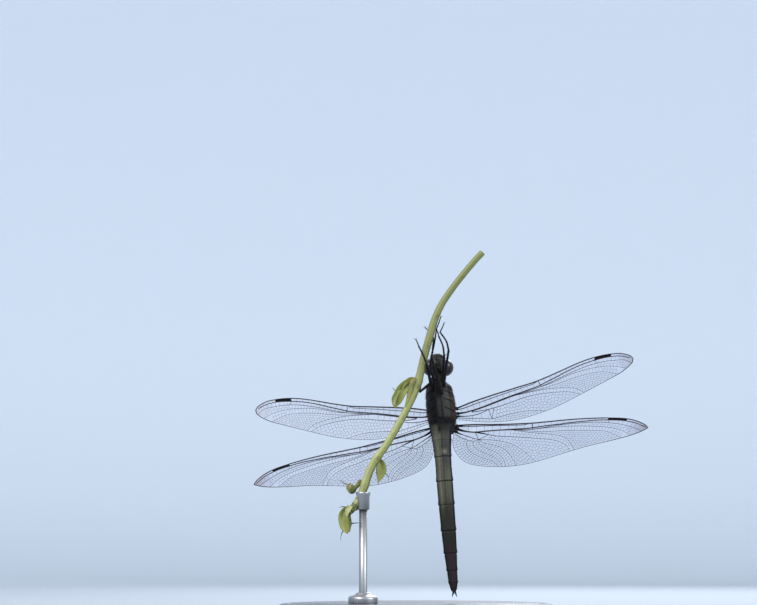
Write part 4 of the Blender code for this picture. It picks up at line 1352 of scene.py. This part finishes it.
def add_spines(shape, line, long, start):
    """Two rows of spines along a thigh or shin, from a share of its length on."""
    heading = unit(line[-1] - line[0])
    outer = unit(np.cross(heading, (0.2, 1, 0)))
    fore = np.cross(outer, heading)
    for share in start + (0.94 - start) * np.arange(SPINES) / (SPINES - 1):
        at = line[int(share * (len(line) - 1))]
        for way in (-1, 1):
            direction = unit(outer * way * 0.75 - fore * 0.5 + heading * 0.75)
            size = long * (1 - 0.35 * abs(share - 0.4))
            spike(shape, at + outer * way * 0.1, direction, size, 0.034)


def add_claws(shape, foot, claw):
    """Two hooked claws at the foot's end, each with a small tooth."""
    heading = unit(foot[-1] - foot[-4])
    outer = unit(np.cross(heading, (0.1, 1, 0.1)))
    under = np.cross(outer, heading)
    for way in (-1, 1):
        hook = unit(heading + outer * way * 0.55)
        spike(shape, claw - heading * 0.05, hook, 0.62, 0.06, bend=-under * 0.3 + outer * way * 0.1)
        spike(shape, claw + hook * 0.28, unit(hook - under * 1.1), 0.2, 0.035)


def make_legs():
    """Each leg in one piece: hip, spiny thigh and shin, jointed foot and two hooked claws."""
    look = shell_material("leg", 0.46)
    for name, (hip, knee, ankle, claw, bow) in LEGS.items():
        leg = Shape("tint")
        hip_in = from_body([np.array(hip) + (-0.25 * np.sign(hip[0]), 1.1, -0.9)])[0]
        hip = from_body([hip])[0]
        knee, ankle, claw = (np.array(p, float) for p in (knee, ankle, claw))
        coxa = smooth_line([hip_in, hip_in * 0.4 + hip * 0.6, hip + unit(knee - hip) * 0.5], 8)
        t = np.linspace(0, 1, len(coxa))
        tube(leg, coxa, 0.48 - 0.12 * t + 0.04 * np.sin(3 * pi * t), 16, tint=DARK_BROWN * 0.5)
        thigh = smooth_line([hip + unit(knee - hip) * 0.15, (hip + knee) / 2 + (0, -0.15, 0), knee], 14)
        t = np.linspace(0, 1, len(thigh))
        radii = (0.37 - 0.14 * t) * (1 - 0.25 * bell(t - 0.03, 0.03)) + 0.03 * bell(t - 0.97, 0.04)
        black = np.broadcast_to(BLACK * 0.7, (len(t), 3))
        shades = paint_over(black, BROWN * 0.3, 0.7 * (1 - ease(t, 0.2, 0.6)))
        tube(leg, thigh, radii, 14, tint=shades)
        middle = (knee + ankle) / 2 + (bow, 0, 0)
        shin = smooth_line([knee - unit(ankle - knee) * 0.12, middle, ankle], 14)
        t = np.linspace(0, 1, len(shin))
        radii = 0.2 - 0.05 * t + 0.045 * bell(t, 0.05) + 0.03 * bell(t - 1, 0.04)
        tube(leg, shin, radii, 12, tint=BLACK * 0.7)
        foot = smooth_line([ankle, ankle * 0.55 + claw * 0.45 + (0.05, 0, 0), claw], 12)
        t = np.linspace(0, 1, len(foot))
        joints = 0.035 * (bell(t - 0.22, 0.05) + bell(t - 0.52, 0.05) + bell(t - 0.98, 0.05))
        tube(leg, foot, 0.125 + joints - 0.015 * t, 10, tint=BLACK * 0.7)
        add_spines(leg, thigh, 0.34, 0.3)
        add_spines(leg, shin, 0.55, 0.06)
        add_claws(leg, foot, claw)
        finish(leg, f"{name}_limb", look, [f"{name}_{part}" for part in ("femur", "tibia", "tarsus")])


# --- perch ----------------------------------------------------------------------------------------

# The stem bends in one plane: where that plane cuts the y axis, and the direction across it.
STEM_Y = -5.0
STEM_FRONT = np.array((0.0, 1.0, 0.0))
STEM_ROUTE = [
    (-20.5, 25.7), (-19.3, 27.6), (-18.5, 29.5), (-17.7, 31.9), (-16.6, 34.7), (-15.1, 37.1), (-13.6, 39.1),
    (-11.4, 42.7), (-9.4, 46.3), (-7.4, 50.4), (-6.4, 53.5), (-5.55, 57.0), (-4.85, 59.8), (-3.95, 63.0),
    (-3.15, 65.8), (-2.2, 68.3), (-0.8, 70.9), (2.05, 74.9), (5.75, 79.4), (7.6, 81.4),
]
STEM_TAPER = [
    (25.7, 0.84), (33, 0.88), (38, 0.8), (50, 0.79), (56, 0.85), (64, 0.85), (70, 0.77), (81.4, 0.7),
]
# The swollen joints where buds grow: height, swelling and length.
STEM_NODES = ((53.2, 0.16, 1.0), (36.6, 0.12, 0.8), (31.0, 0.14, 0.8), (26.6, 0.1, 0.6))
GREEN = np.array((0.155, 0.17, 0.03))
YELLOW_GREEN = np.array((0.27, 0.285, 0.09))
PALE_GREEN = np.array((0.4, 0.41, 0.2))
STEM_BROWN = np.array((0.14, 0.115, 0.028))
DARK_GREEN = np.array((0.035, 0.045, 0.014))


def plant_material(name, rough=0.5):
    """Soft plant skin with fine streaks and a little light passing through."""
    paint = Paint(name, Subsurface_Weight=0.12, Subsurface_Scale=0.0006)
    paint.shader.inputs["Subsurface Radius"].default_value = (0.6, 1.0, 0.25)
    streak = paint.noise(2.2, 5.0, 0.6)
    fine = paint.noise(9.0)
    paint.bump(fine, 0.35, 0.03)
    paint.rough(paint.level(streak, rough - 0.08, rough + 0.12, 0.3, 0.7))
    shade = paint.ramp(streak, (0.28, (0.74, 0.78, 0.7)), (0.72, (1.08, 1.06, 1.0)))
    return paint.colour(paint.mix(1.0, paint.tint(), shade, "MULTIPLY"))


def stalk(shape, points, steps, start, end, sides, tint):
    """A bent stalk that tapers from one radius to another."""
    line = smooth_line(points, steps)
    tube(shape, line, np.linspace(start, end, len(line)), sides, tint=tint)


def blade(shape, spine, widths, facing, fold, tints, thick=0.09, wave=0.0):
    """A leaf with a midrib: spine points, half widths along it, the way its face looks, and its fold."""
    columns = 15
    line = smooth_line(spine, 8)
    rows = len(line)
    t = np.linspace(0, 1, rows)
    half = read(widths, t)[:, 0]
    heading = unit(np.gradient(line, axis=0))
    across = unit(np.cross(heading, np.asarray(facing, float)))
    face = np.cross(across, heading)
    s = np.linspace(-1, 1, columns)
    sideways = s * cos(fold)
    up = np.abs(s) * sin(fold)
    ruffle = wave * np.sin(14 * t)[:, None] * (s**2)[None]
    flat = line[:, None] + across[:, None] * (sideways[None, :, None] * half[:, None, None])
    flat = flat + face[:, None] * ((up[None] * half[:, None] + ruffle * half[:, None])[..., None])
    vein = 0.04 * bell(s, 0.12)[None] + 0.012 * np.sin(26 * t[:, None] - 9 * np.abs(s)[None])
    body = thick * np.sqrt(np.clip(1 - s**2, 0.02, 1))[None] * np.ones((rows, 1))
    top = flat + face[:, None] * ((body / 2 + vein)[..., None])
    bottom = flat - face[:, None] * ((body / 2 + 0.5 * vein)[..., None])
    ring = np.concatenate([top, bottom[:, ::-1]], 1)
    around = ring.shape[1]
    colour = layered(
        np.broadcast_to(tints[0], (rows, columns, 3)),
        (tints[1], ease(t, 0.3, 1.0)[:, None] * np.ones(columns)),
        (tints[2], 0.8 * bell(s, 0.1)[None] * np.ones((rows, 1))),
        (tints[0] * 0.45, 0.8 * ease(np.abs(s), 0.88, 1.0)[None] * np.ones((rows, 1))),
    )
    colour = np.concatenate([colour, colour[:, ::-1] * 0.9], 1).reshape(-1, 3)
    points = ring.reshape(-1, 3)
    quads = grid_faces(rows, around, closed=True)
    shape.add(points, quads, tint=colour)
    caps = []
    for start in (0, (rows - 1) * around):
        for j in range(columns - 1):
            quad = [start + j, start + j + 1, start + around - 2 - j, start + around - 1 - j]
            caps.append(quad if start else quad[::-1])
    shape.faces.append(np.array(caps) + shape.count - len(points))


def ball(shape, middle, radii, tint, rows=28, around=36, ridges=0.0, end_tint=None):
    """An egg shape, with faint ridges from end to end."""
    p, t = np.meshgrid(pi * np.linspace(0.002, 0.998, rows), turns(around), indexing="ij")
    swell = 1 + ridges * np.cos(7 * t) * np.sin(p)
    local = np.stack([np.sin(p) * np.cos(t) * swell, np.sin(p) * np.sin(t) * swell, np.cos(p)], -1)
    colours = np.broadcast_to(tint, local.shape)
    if end_tint is not None:
        colours = paint_over(colours, end_tint, ease(np.abs(local[..., 2]), 0.5, 0.95))
    points = (np.array(middle) + local * np.array(radii)).reshape(-1, 3)
    shape.add(points, grid_faces(rows, around, closed=True, flip=True), tint=colours.reshape(-1, 3))


def make_perch():
    """The drooping stem, its leaf buds and its fine hairs."""
    route = smooth_line([(x, STEM_Y, z) for x, z in STEM_ROUTE], 14)
    heading = unit(np.gradient(route, axis=0))
    across = unit(np.cross(heading, STEM_FRONT))
    around = 48
    a = turns(around)
    z = route[:, 2]
    radius = read(STEM_TAPER, z)[:, 0]
    nodes = sum(high * bell(z - at, wide) for at, high, wide in STEM_NODES)
    lumps = ripple(2.2 * z[:, None], 3 * np.cos(a)[None], 3 * np.sin(a)[None])
    ridge = 0.02 * np.cos(9 * a)[None] + 0.012 * lumps
    size = (radius + nodes)[:, None] + ridge - 0.02
    ring = across[:, None] * np.cos(a)[None, :, None] + STEM_FRONT * np.sin(a)[None, :, None]
    points = route[:, None] + ring * size[..., None]
    # how far each point of the skin faces +x
    right = ring[..., 0]
    # painted light: a pale highlight down the stem's -x side, weaker higher up, and painted shade along its
    # +x side; the brown streaks and the greener top are its own colours
    tint = layered(
        np.broadcast_to(YELLOW_GREEN, points.shape),
        # painted highlight down the -x side
        (PALE_GREEN, 0.65 * bell(right + 0.55, 0.45) * (1 - 0.5 * ease(z, 50, 58))[:, None]),
        # painted shade along the +x side
        (GREEN * 0.5, 0.85 * ease(right, 0.5, 0.85)),
        (STEM_BROWN, 0.75 * bell(right - 0.3, 0.3) * ease(ripple(0.7 * z, z * 0.2), 0.1, 0.7)[:, None]),
        (GREEN, 0.55 * ease(z, 66, 76)[:, None] * np.ones(around)),
    )
    tint = tint * read([(48, 1.0), (56, 0.72), (66, 0.72), (81, 0.85)], z)[:, None]
    scars = 0.8 * bell(z - 26.4, 0.35)[:, None] + 0.7 * bell(z - 27.7, 0.2)[:, None] * np.ones(around)
    tint = paint_over(tint, DARK_GREEN, scars)
    stem = Shape("tint")
    ends = np.vstack([route[0], route[-1] + heading[-1] * 0.02])
    tint = np.vstack([tint.reshape(-1, 3), PALE_GREEN, PALE_GREEN])
    stem.add_rings(points.reshape(-1, 3), around, ends, tint=tint)
    look = plant_material("stem")
    finish(stem, "stem_skin", look, ["perch_stem"])
    make_buds()
    make_stem_hair(route, heading, across, radius)


def make_stem_hair(route, heading, across, radius):
    """Fine pale hairs all over the stem."""
    random = np.random.default_rng(21)
    pick = random.integers(2, len(route) - 2, 2600)
    angle = random.uniform(0, 2 * pi, len(pick))
    normal = across[pick] * np.cos(angle)[:, None] + STEM_FRONT * np.sin(angle)[:, None]
    slip = heading[pick] * random.uniform(-0.1, 0.1, (len(pick), 1))
    root = route[pick] + normal * (radius[pick] - 0.04)[:, None] + slip
    hair = hair_shape()
    uv = coat_place(angle / (2 * pi), pick / len(route))
    tints = np.broadcast_to((0.5, 0.5, 0.36), (len(pick), 3))
    lengths = random.uniform(0.12, 0.34, len(pick))
    add_hairs(hair, root, normal, lengths, (0, 0, -0.3), tints, uv, random, 0.008)
    finish_hair(hair, "stem_hair", hair_material("stem_hair"), ["perch_stem"])


def make_buds():
    """The four young leaf buds, each in its own piece."""
    look = plant_material("bud", 0.45)
    tints = (GREEN * 1.25, YELLOW_GREEN * (1.05, 0.97, 0.75), YELLOW_GREEN * (1.2, 1.08, 0.85))
    pale = (YELLOW_GREEN, PALE_GREEN, PALE_GREEN)

    leaf = Shape("tint")
    rows = 33
    browned = paint_over(np.broadcast_to(YELLOW_GREEN, (rows, 3)), STEM_BROWN, np.linspace(1, 0, rows))
    stalk(leaf, [(-6.9, -5.2, 53.4), (-7.7, -5.5, 53.0), (-8.1, -5.6, 52.0), (-8.5, -5.5, 50.0),
                 (-9.1, -5.3, 47.6)], 8, 0.75, 0.4, 16, browned)
    blade(leaf, [(-7.4, -5.2, 53.2), (-9.0, -5.4, 52.5), (-10.5, -5.5, 50.8), (-11.4, -5.2, 48.8),
                 (-11.5, -5.0, 47.4)],
          [(0, 0.5), (0.25, 1.25), (0.6, 1.45), (0.85, 0.95), (1, 0.12)],
          (0.35, -1, 0.1), 0.55, tints, 0.14, 0.05)
    blade(leaf, [(-7.9, -4.6, 53.3), (-9.4, -4.7, 52.2), (-10.6, -4.8, 50.4), (-11.2, -4.8, 48.4)],
          [(0, 0.4), (0.3, 1.1), (0.7, 1.0), (1, 0.1)], (0.1, 1, 0.3), 0.5, pale, 0.14, 0.05)
    blade(leaf, [(-10.6, -5.9, 51.2), (-11.4, -5.9, 50.2), (-11.8, -5.8, 49.0), (-11.7, -5.6, 48.0)],
          [(0, 0.25), (0.4, 0.55), (0.8, 0.4), (1, 0.08)], (0.0, -1, 0.2), 0.3, pale, 0.1)
    blade(leaf, [(-6.9, -4.9, 53.7), (-8.2, -5.3, 53.5), (-9.3, -5.8, 52.7), (-10.1, -6.1, 51.4)],
          [(0, 0.3), (0.4, 0.6), (1, 0.1)], (0.1, -1, 0.4), 0.6, (STEM_BROWN * 1.2, GREEN, STEM_BROWN), 0.12)
    stalk(leaf, [(-11.2, -5.5, 51.0), (-11.8, -5.6, 51.4), (-12.1, -5.7, 51.9)], 6, 0.14, 0.02, 8,
          DARK_GREEN * 0.5)
    finish(leaf, "leaf_bud", look, ["perch_leaf_bud"])

    upper = Shape("tint")
    blade(upper, [(-15.3, -4.2, 36.8), (-14.6, -4.2, 35.2), (-14.6, -4.2, 33.4), (-15.2, -4.2, 31.4)],
          [(0, 0.2), (0.3, 1.05), (0.6, 1.2), (0.85, 0.65), (1, 0.08)], (0.1, -1, 0), 0.5, tints, 0.16, 0.04)
    blade(upper, [(-15.3, -3.6, 36.6), (-14.5, -3.5, 35.0), (-14.6, -3.5, 33.2), (-15.1, -3.6, 31.8)],
          [(0, 0.15), (0.35, 0.9), (0.7, 0.8), (1, 0.1)], (0.1, 1, 0), 0.45, tints, 0.16, 0.04)
    ball(upper, (-14.9, -3.9, 34.0), (0.75, 0.55, 1.9), YELLOW_GREEN * 0.9, ridges=0.06, end_tint=GREEN)
    stalk(upper, [(-14.0, -4.1, 33.9), (-13.4, -4.2, 33.2), (-12.8, -4.2, 32.3)], 6, 0.16, 0.03, 8,
          DARK_GREEN * 0.6)
    finish(upper, "bud_upper", look, ["perch_bud_upper"])

    middle = Shape("tint")
    ball(middle, (-20.85, -4.5, 29.95), (0.95, 0.9, 1.05), GREEN * 0.55, ridges=0.08, end_tint=STEM_BROWN)
    stalk(middle, [(-20.2, -4.6, 30.2), (-19.4, -4.8, 31.0), (-18.9, -4.9, 31.9)], 8, 0.5, 0.45, 14,
          GREEN * 0.9)
    blade(middle, [(-21.2, -4.9, 31.2), (-21.5, -5.2, 30.2), (-21.1, -5.2, 29.1)],
          [(0, 0.2), (0.5, 0.6), (1, 0.1)], (0, -1, 0), 0.4, (STEM_BROWN * 1.3, GREEN, GREEN), 0.12)
    stalk(middle, [(-21.4, -4.6, 30.8), (-22.3, -4.7, 31.1), (-23.3, -4.7, 31.8), (-23.9, -4.6, 31.9)], 8,
          0.13, 0.03, 8, DARK_GREEN)
    finish(middle, "bud_middle", look, ["perch_bud_middle"])

    tip = Shape("tint")
    rows = 17
    bands = ease(np.sin(np.linspace(0, 4 * pi, rows)), 0.0, 0.8)
    banded = paint_over(np.broadcast_to(GREEN, (rows, 3)), DARK_GREEN * 0.6, bands)
    stalk(tip, [(-20.5, -5.05, 26.05), (-21.0, -5.2, 25.5), (-21.6, -5.4, 25.0)], 8, 0.86, 0.8, 20, banded)
    blade(tip, [(-21.3, -5.2, 26.2), (-22.6, -5.5, 24.6), (-22.5, -5.7, 22.4), (-21.7, -5.7, 20.4)],
          [(0, 0.5), (0.25, 1.0), (0.6, 1.2), (0.85, 0.85), (1, 0.15)], (0.05, -1, 0), 0.5, tints, 0.16, 0.05)
    blade(tip, [(-21.2, -4.6, 25.8), (-22.1, -4.6, 24.2), (-21.9, -4.7, 22.2), (-21.3, -4.9, 20.8)],
          [(0, 0.5), (0.3, 1.15), (0.7, 1.1), (1, 0.12)], (0.05, 1, 0), 0.45, tints, 0.16, 0.05)
    palest = (PALE_GREEN * 0.8, PALE_GREEN, PALE_GREEN)
    blade(tip, [(-20.9, -5.9, 26.3), (-21.7, -6.3, 25.3), (-21.9, -6.4, 24.0)],
          [(0, 0.4), (0.5, 0.6), (1, 0.1)], (0, -1, 0.3), 0.3, palest, 0.1)
    for spot in (((-22.4, -5.4, 21.4), (-23.0, -5.5, 20.4), (-23.3, -5.5, 18.9)),
                 ((-20.9, -5.6, 22.6), (-19.6, -6.0, 22.7), (-18.4, -6.2, 22.6)),
                 ((-21.9, -5.2, 26.0), (-22.9, -5.3, 26.2), (-23.6, -5.3, 25.9))):
        stalk(tip, spot, 6, 0.15, 0.025, 8, DARK_GREEN)
    finish(tip, "bud_tip", look, ["perch_bud_tip"])


# --- stand ----------------------------------------------------------------------------------------

ROD_PLACE = (-18.4, -5.0)


def lathe(shape, middle, profile, around=96):
    """A turned solid: (radius, height) pairs from the axis out and back to the axis."""
    (_, low), *inner, (_, high) = profile
    a = turns(around)
    ring = np.stack([np.cos(a), np.sin(a)], 1)
    points = np.concatenate([np.column_stack([ring * r, np.full(around, h)]) for r, h in inner])
    points = np.vstack([points, (0, 0, low), (0, 0, high)]) + (*middle, 0)
    shape.add_rings(points[:-2], around, points[-2:])


def make_stand():
    """A round base with a rod, a foot for it, and a cup that the stem runs through."""
    base = Shape()
    lathe(base, BASE_MIDDLE, [
        (0, 0.0), (29.2, 0.0), (29.6, 0.1), (29.8, 0.5), (29.9, 0.9), (29.9, 4.5), (29.8, 4.9), (29.5, 5.25),
        (29.1, 5.42), (28.7, 5.5), (27.6, 5.5), (27.4, 5.38), (27.2, 5.38), (27.0, 5.5), (10, 5.5), (0, 5.5),
    ], 160)
    paint = Paint("stand_base", Coat_Weight=0.3, Coat_Roughness=0.25)
    grain = paint.noise(0.5, 6.0, 0.6, (1.0, 0.12, 1.0))
    paint.rough(paint.level(grain, 0.3, 0.42))
    paint.bump(paint.noise(4.0), 0.15, 0.01)
    look = paint.colour(paint.ramp(grain, (0.3, (0.03, 0.03, 0.033)), (0.7, (0.045, 0.045, 0.05))))
    finish(base, "stand_base_disc", look, ["stand_base"])

    rod = Shape()
    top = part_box("stand_cup")[0].z / MM - ORIGIN[2] - 0.02
    lathe(rod, ROD_PLACE, [(0, 5.4), (0.88, 5.4), (0.88, 6.0), (0.88, top), (0, top)], 48)
    steel = Paint("stand_rod", Metallic=1.0)
    brushed = steel.noise(1.5, 4.0, 0.6, (1.0, 1.0, 0.05))
    steel.rough(steel.level(brushed, 0.34, 0.48))
    look = steel.colour(steel.ramp(brushed, (0.3, (0.3, 0.3, 0.31)), (0.7, (0.38, 0.38, 0.39))))
    finish(rod, "stand_rod_bar", look, ["stand_rod"])
    foot = Shape()
    lathe(foot, ROD_PLACE, [
        (0, 5.5), (3.15, 5.5), (3.18, 5.6), (3.18, 6.6), (3.1, 6.9), (2.8, 7.15), (1.9, 7.35), (1.6, 7.6),
        (1.5, 7.8), (1.3, 7.88), (0.85, 7.88), (0, 7.88),
    ], 72)
    finish(foot, "stand_foot_collar", look, ["stand_foot"])
    cup_low, cup_high = (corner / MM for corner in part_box("stand_cup"))
    low, high = cup_low.z - ORIGIN[2], cup_high.z - ORIGIN[2]
    cup = Shape()
    lathe(cup, ROD_PLACE, [
        (0, low), (1.2, low), (1.38, low + 0.15), (1.38, high - 0.9), (1.5, high - 0.7), (1.58, high - 0.3),
        (1.55, high - 0.05), (1.45, high), (1.25, high - 0.02), (1.1, high - 0.15), (0.98, high - 0.5),
        (0.6, high - 0.9), (0, high - 0.95),
    ], 72)
    finish(cup, "stand_cup_socket", look, ["stand_cup"])


# --- camera, floor and lights ---------------------------------------------------------------------

CAMERA_PLACE = (-15.1, -446.65, 16.16)
CAMERA_PITCH = 7.0
CAMERA_LENS = 97.27


def make_studio():
    """The camera, a pale floor that curves up into a backdrop, and soft lights."""
    data = bpy.data.cameras.new("camera")
    data.lens, data.sensor_width = CAMERA_LENS, 36.0
    data.clip_start, data.clip_end = 0.01, 20
    camera = bpy.data.objects.new("camera", data)
    camera.location = (np.array(CAMERA_PLACE) + ORIGIN) * MM
    camera.rotation_euler = (radians(90 + CAMERA_PITCH), 0, 0)
    bpy.context.scene.collection.objects.link(camera)
    bpy.context.scene.camera = camera

    paint = Paint("studio_floor", Roughness=0.95, Specular_IOR_Level=0.1)
    near_shade = paint.ramp(paint.noise(0.004, 2.0), (0.3, (0.36, 0.4, 0.45)), (0.7, (0.38, 0.42, 0.47)))
    floor_colour = paint.colour(paint.mix(paint.value("far"), near_shade, (0.8, 0.86, 0.93)))
    floor = Shape("far")
    flat, bend, top, around = 700.0, 800.0, 1250.0, 96
    turn = np.linspace(0, pi / 2, 30)
    level = np.linspace(1.0, flat, 16)
    reach = np.concatenate([level[:-1], flat + bend * np.sin(turn), [flat + bend]])
    height = np.concatenate([level[:-1] * 0, bend * (1 - np.cos(turn)), [top]])
    a = turns(around)
    bowl = [np.outer(reach, np.cos(a)), np.outer(reach, np.sin(a)), np.outer(height, np.ones(around))]
    points = np.vstack([np.stack(bowl, -1).reshape(-1, 3), (0, 0, 0)])
    far = np.append(np.repeat(ease(reach, 250, 1250), around), 0)
    floor.add(points, grid_faces(len(reach), around, closed=True), far=far)
    j = np.arange(around)
    floor.faces.append(np.stack([j, (j + 1) % around, j * 0 + len(reach) * around], 1))
    ground = floor.make("studio_floor", floor_colour)

    world = bpy.data.worlds.new("studio")
    world.use_nodes = True
    background = world.node_tree.nodes["Background"]
    background.inputs["Color"].default_value = (0.86, 0.92, 1.0, 1)
    background.inputs["Strength"].default_value = 1.0
    bpy.context.scene.world = world
    bpy.context.scene.view_settings.view_transform = "Standard"

    for name, place, size, power, colour in (
        ("key", (-280, -240, 380), 260, 1.5, (1.0, 0.97, 0.93)),
        ("side", (360, -160, 260), 260, 1.3, (0.96, 0.98, 1.0)),
        ("back", (120, 420, 340), 260, 1.8, (0.95, 0.97, 1.0)),
        ("spark", (-150, -330, 330), 36, 0.5, (1.0, 0.98, 0.95)),
    ):
        light = bpy.data.lights.new(name, "AREA")
        light.shape, light.size, light.energy, light.color = "DISK", size * MM, power, colour
        lamp = bpy.data.objects.new(name, light)
        lamp.location = (np.array(place) + ORIGIN) * MM
        aim = Vector((np.array((0, 0, 45)) - place).tolist())
        lamp.rotation_euler = aim.to_track_quat("-Z", "Y").to_euler()
        bpy.context.scene.collection.objects.link(lamp)


make_wings()
make_body()
make_head()
make_legs()
make_perch()
make_stand()
make_studio()
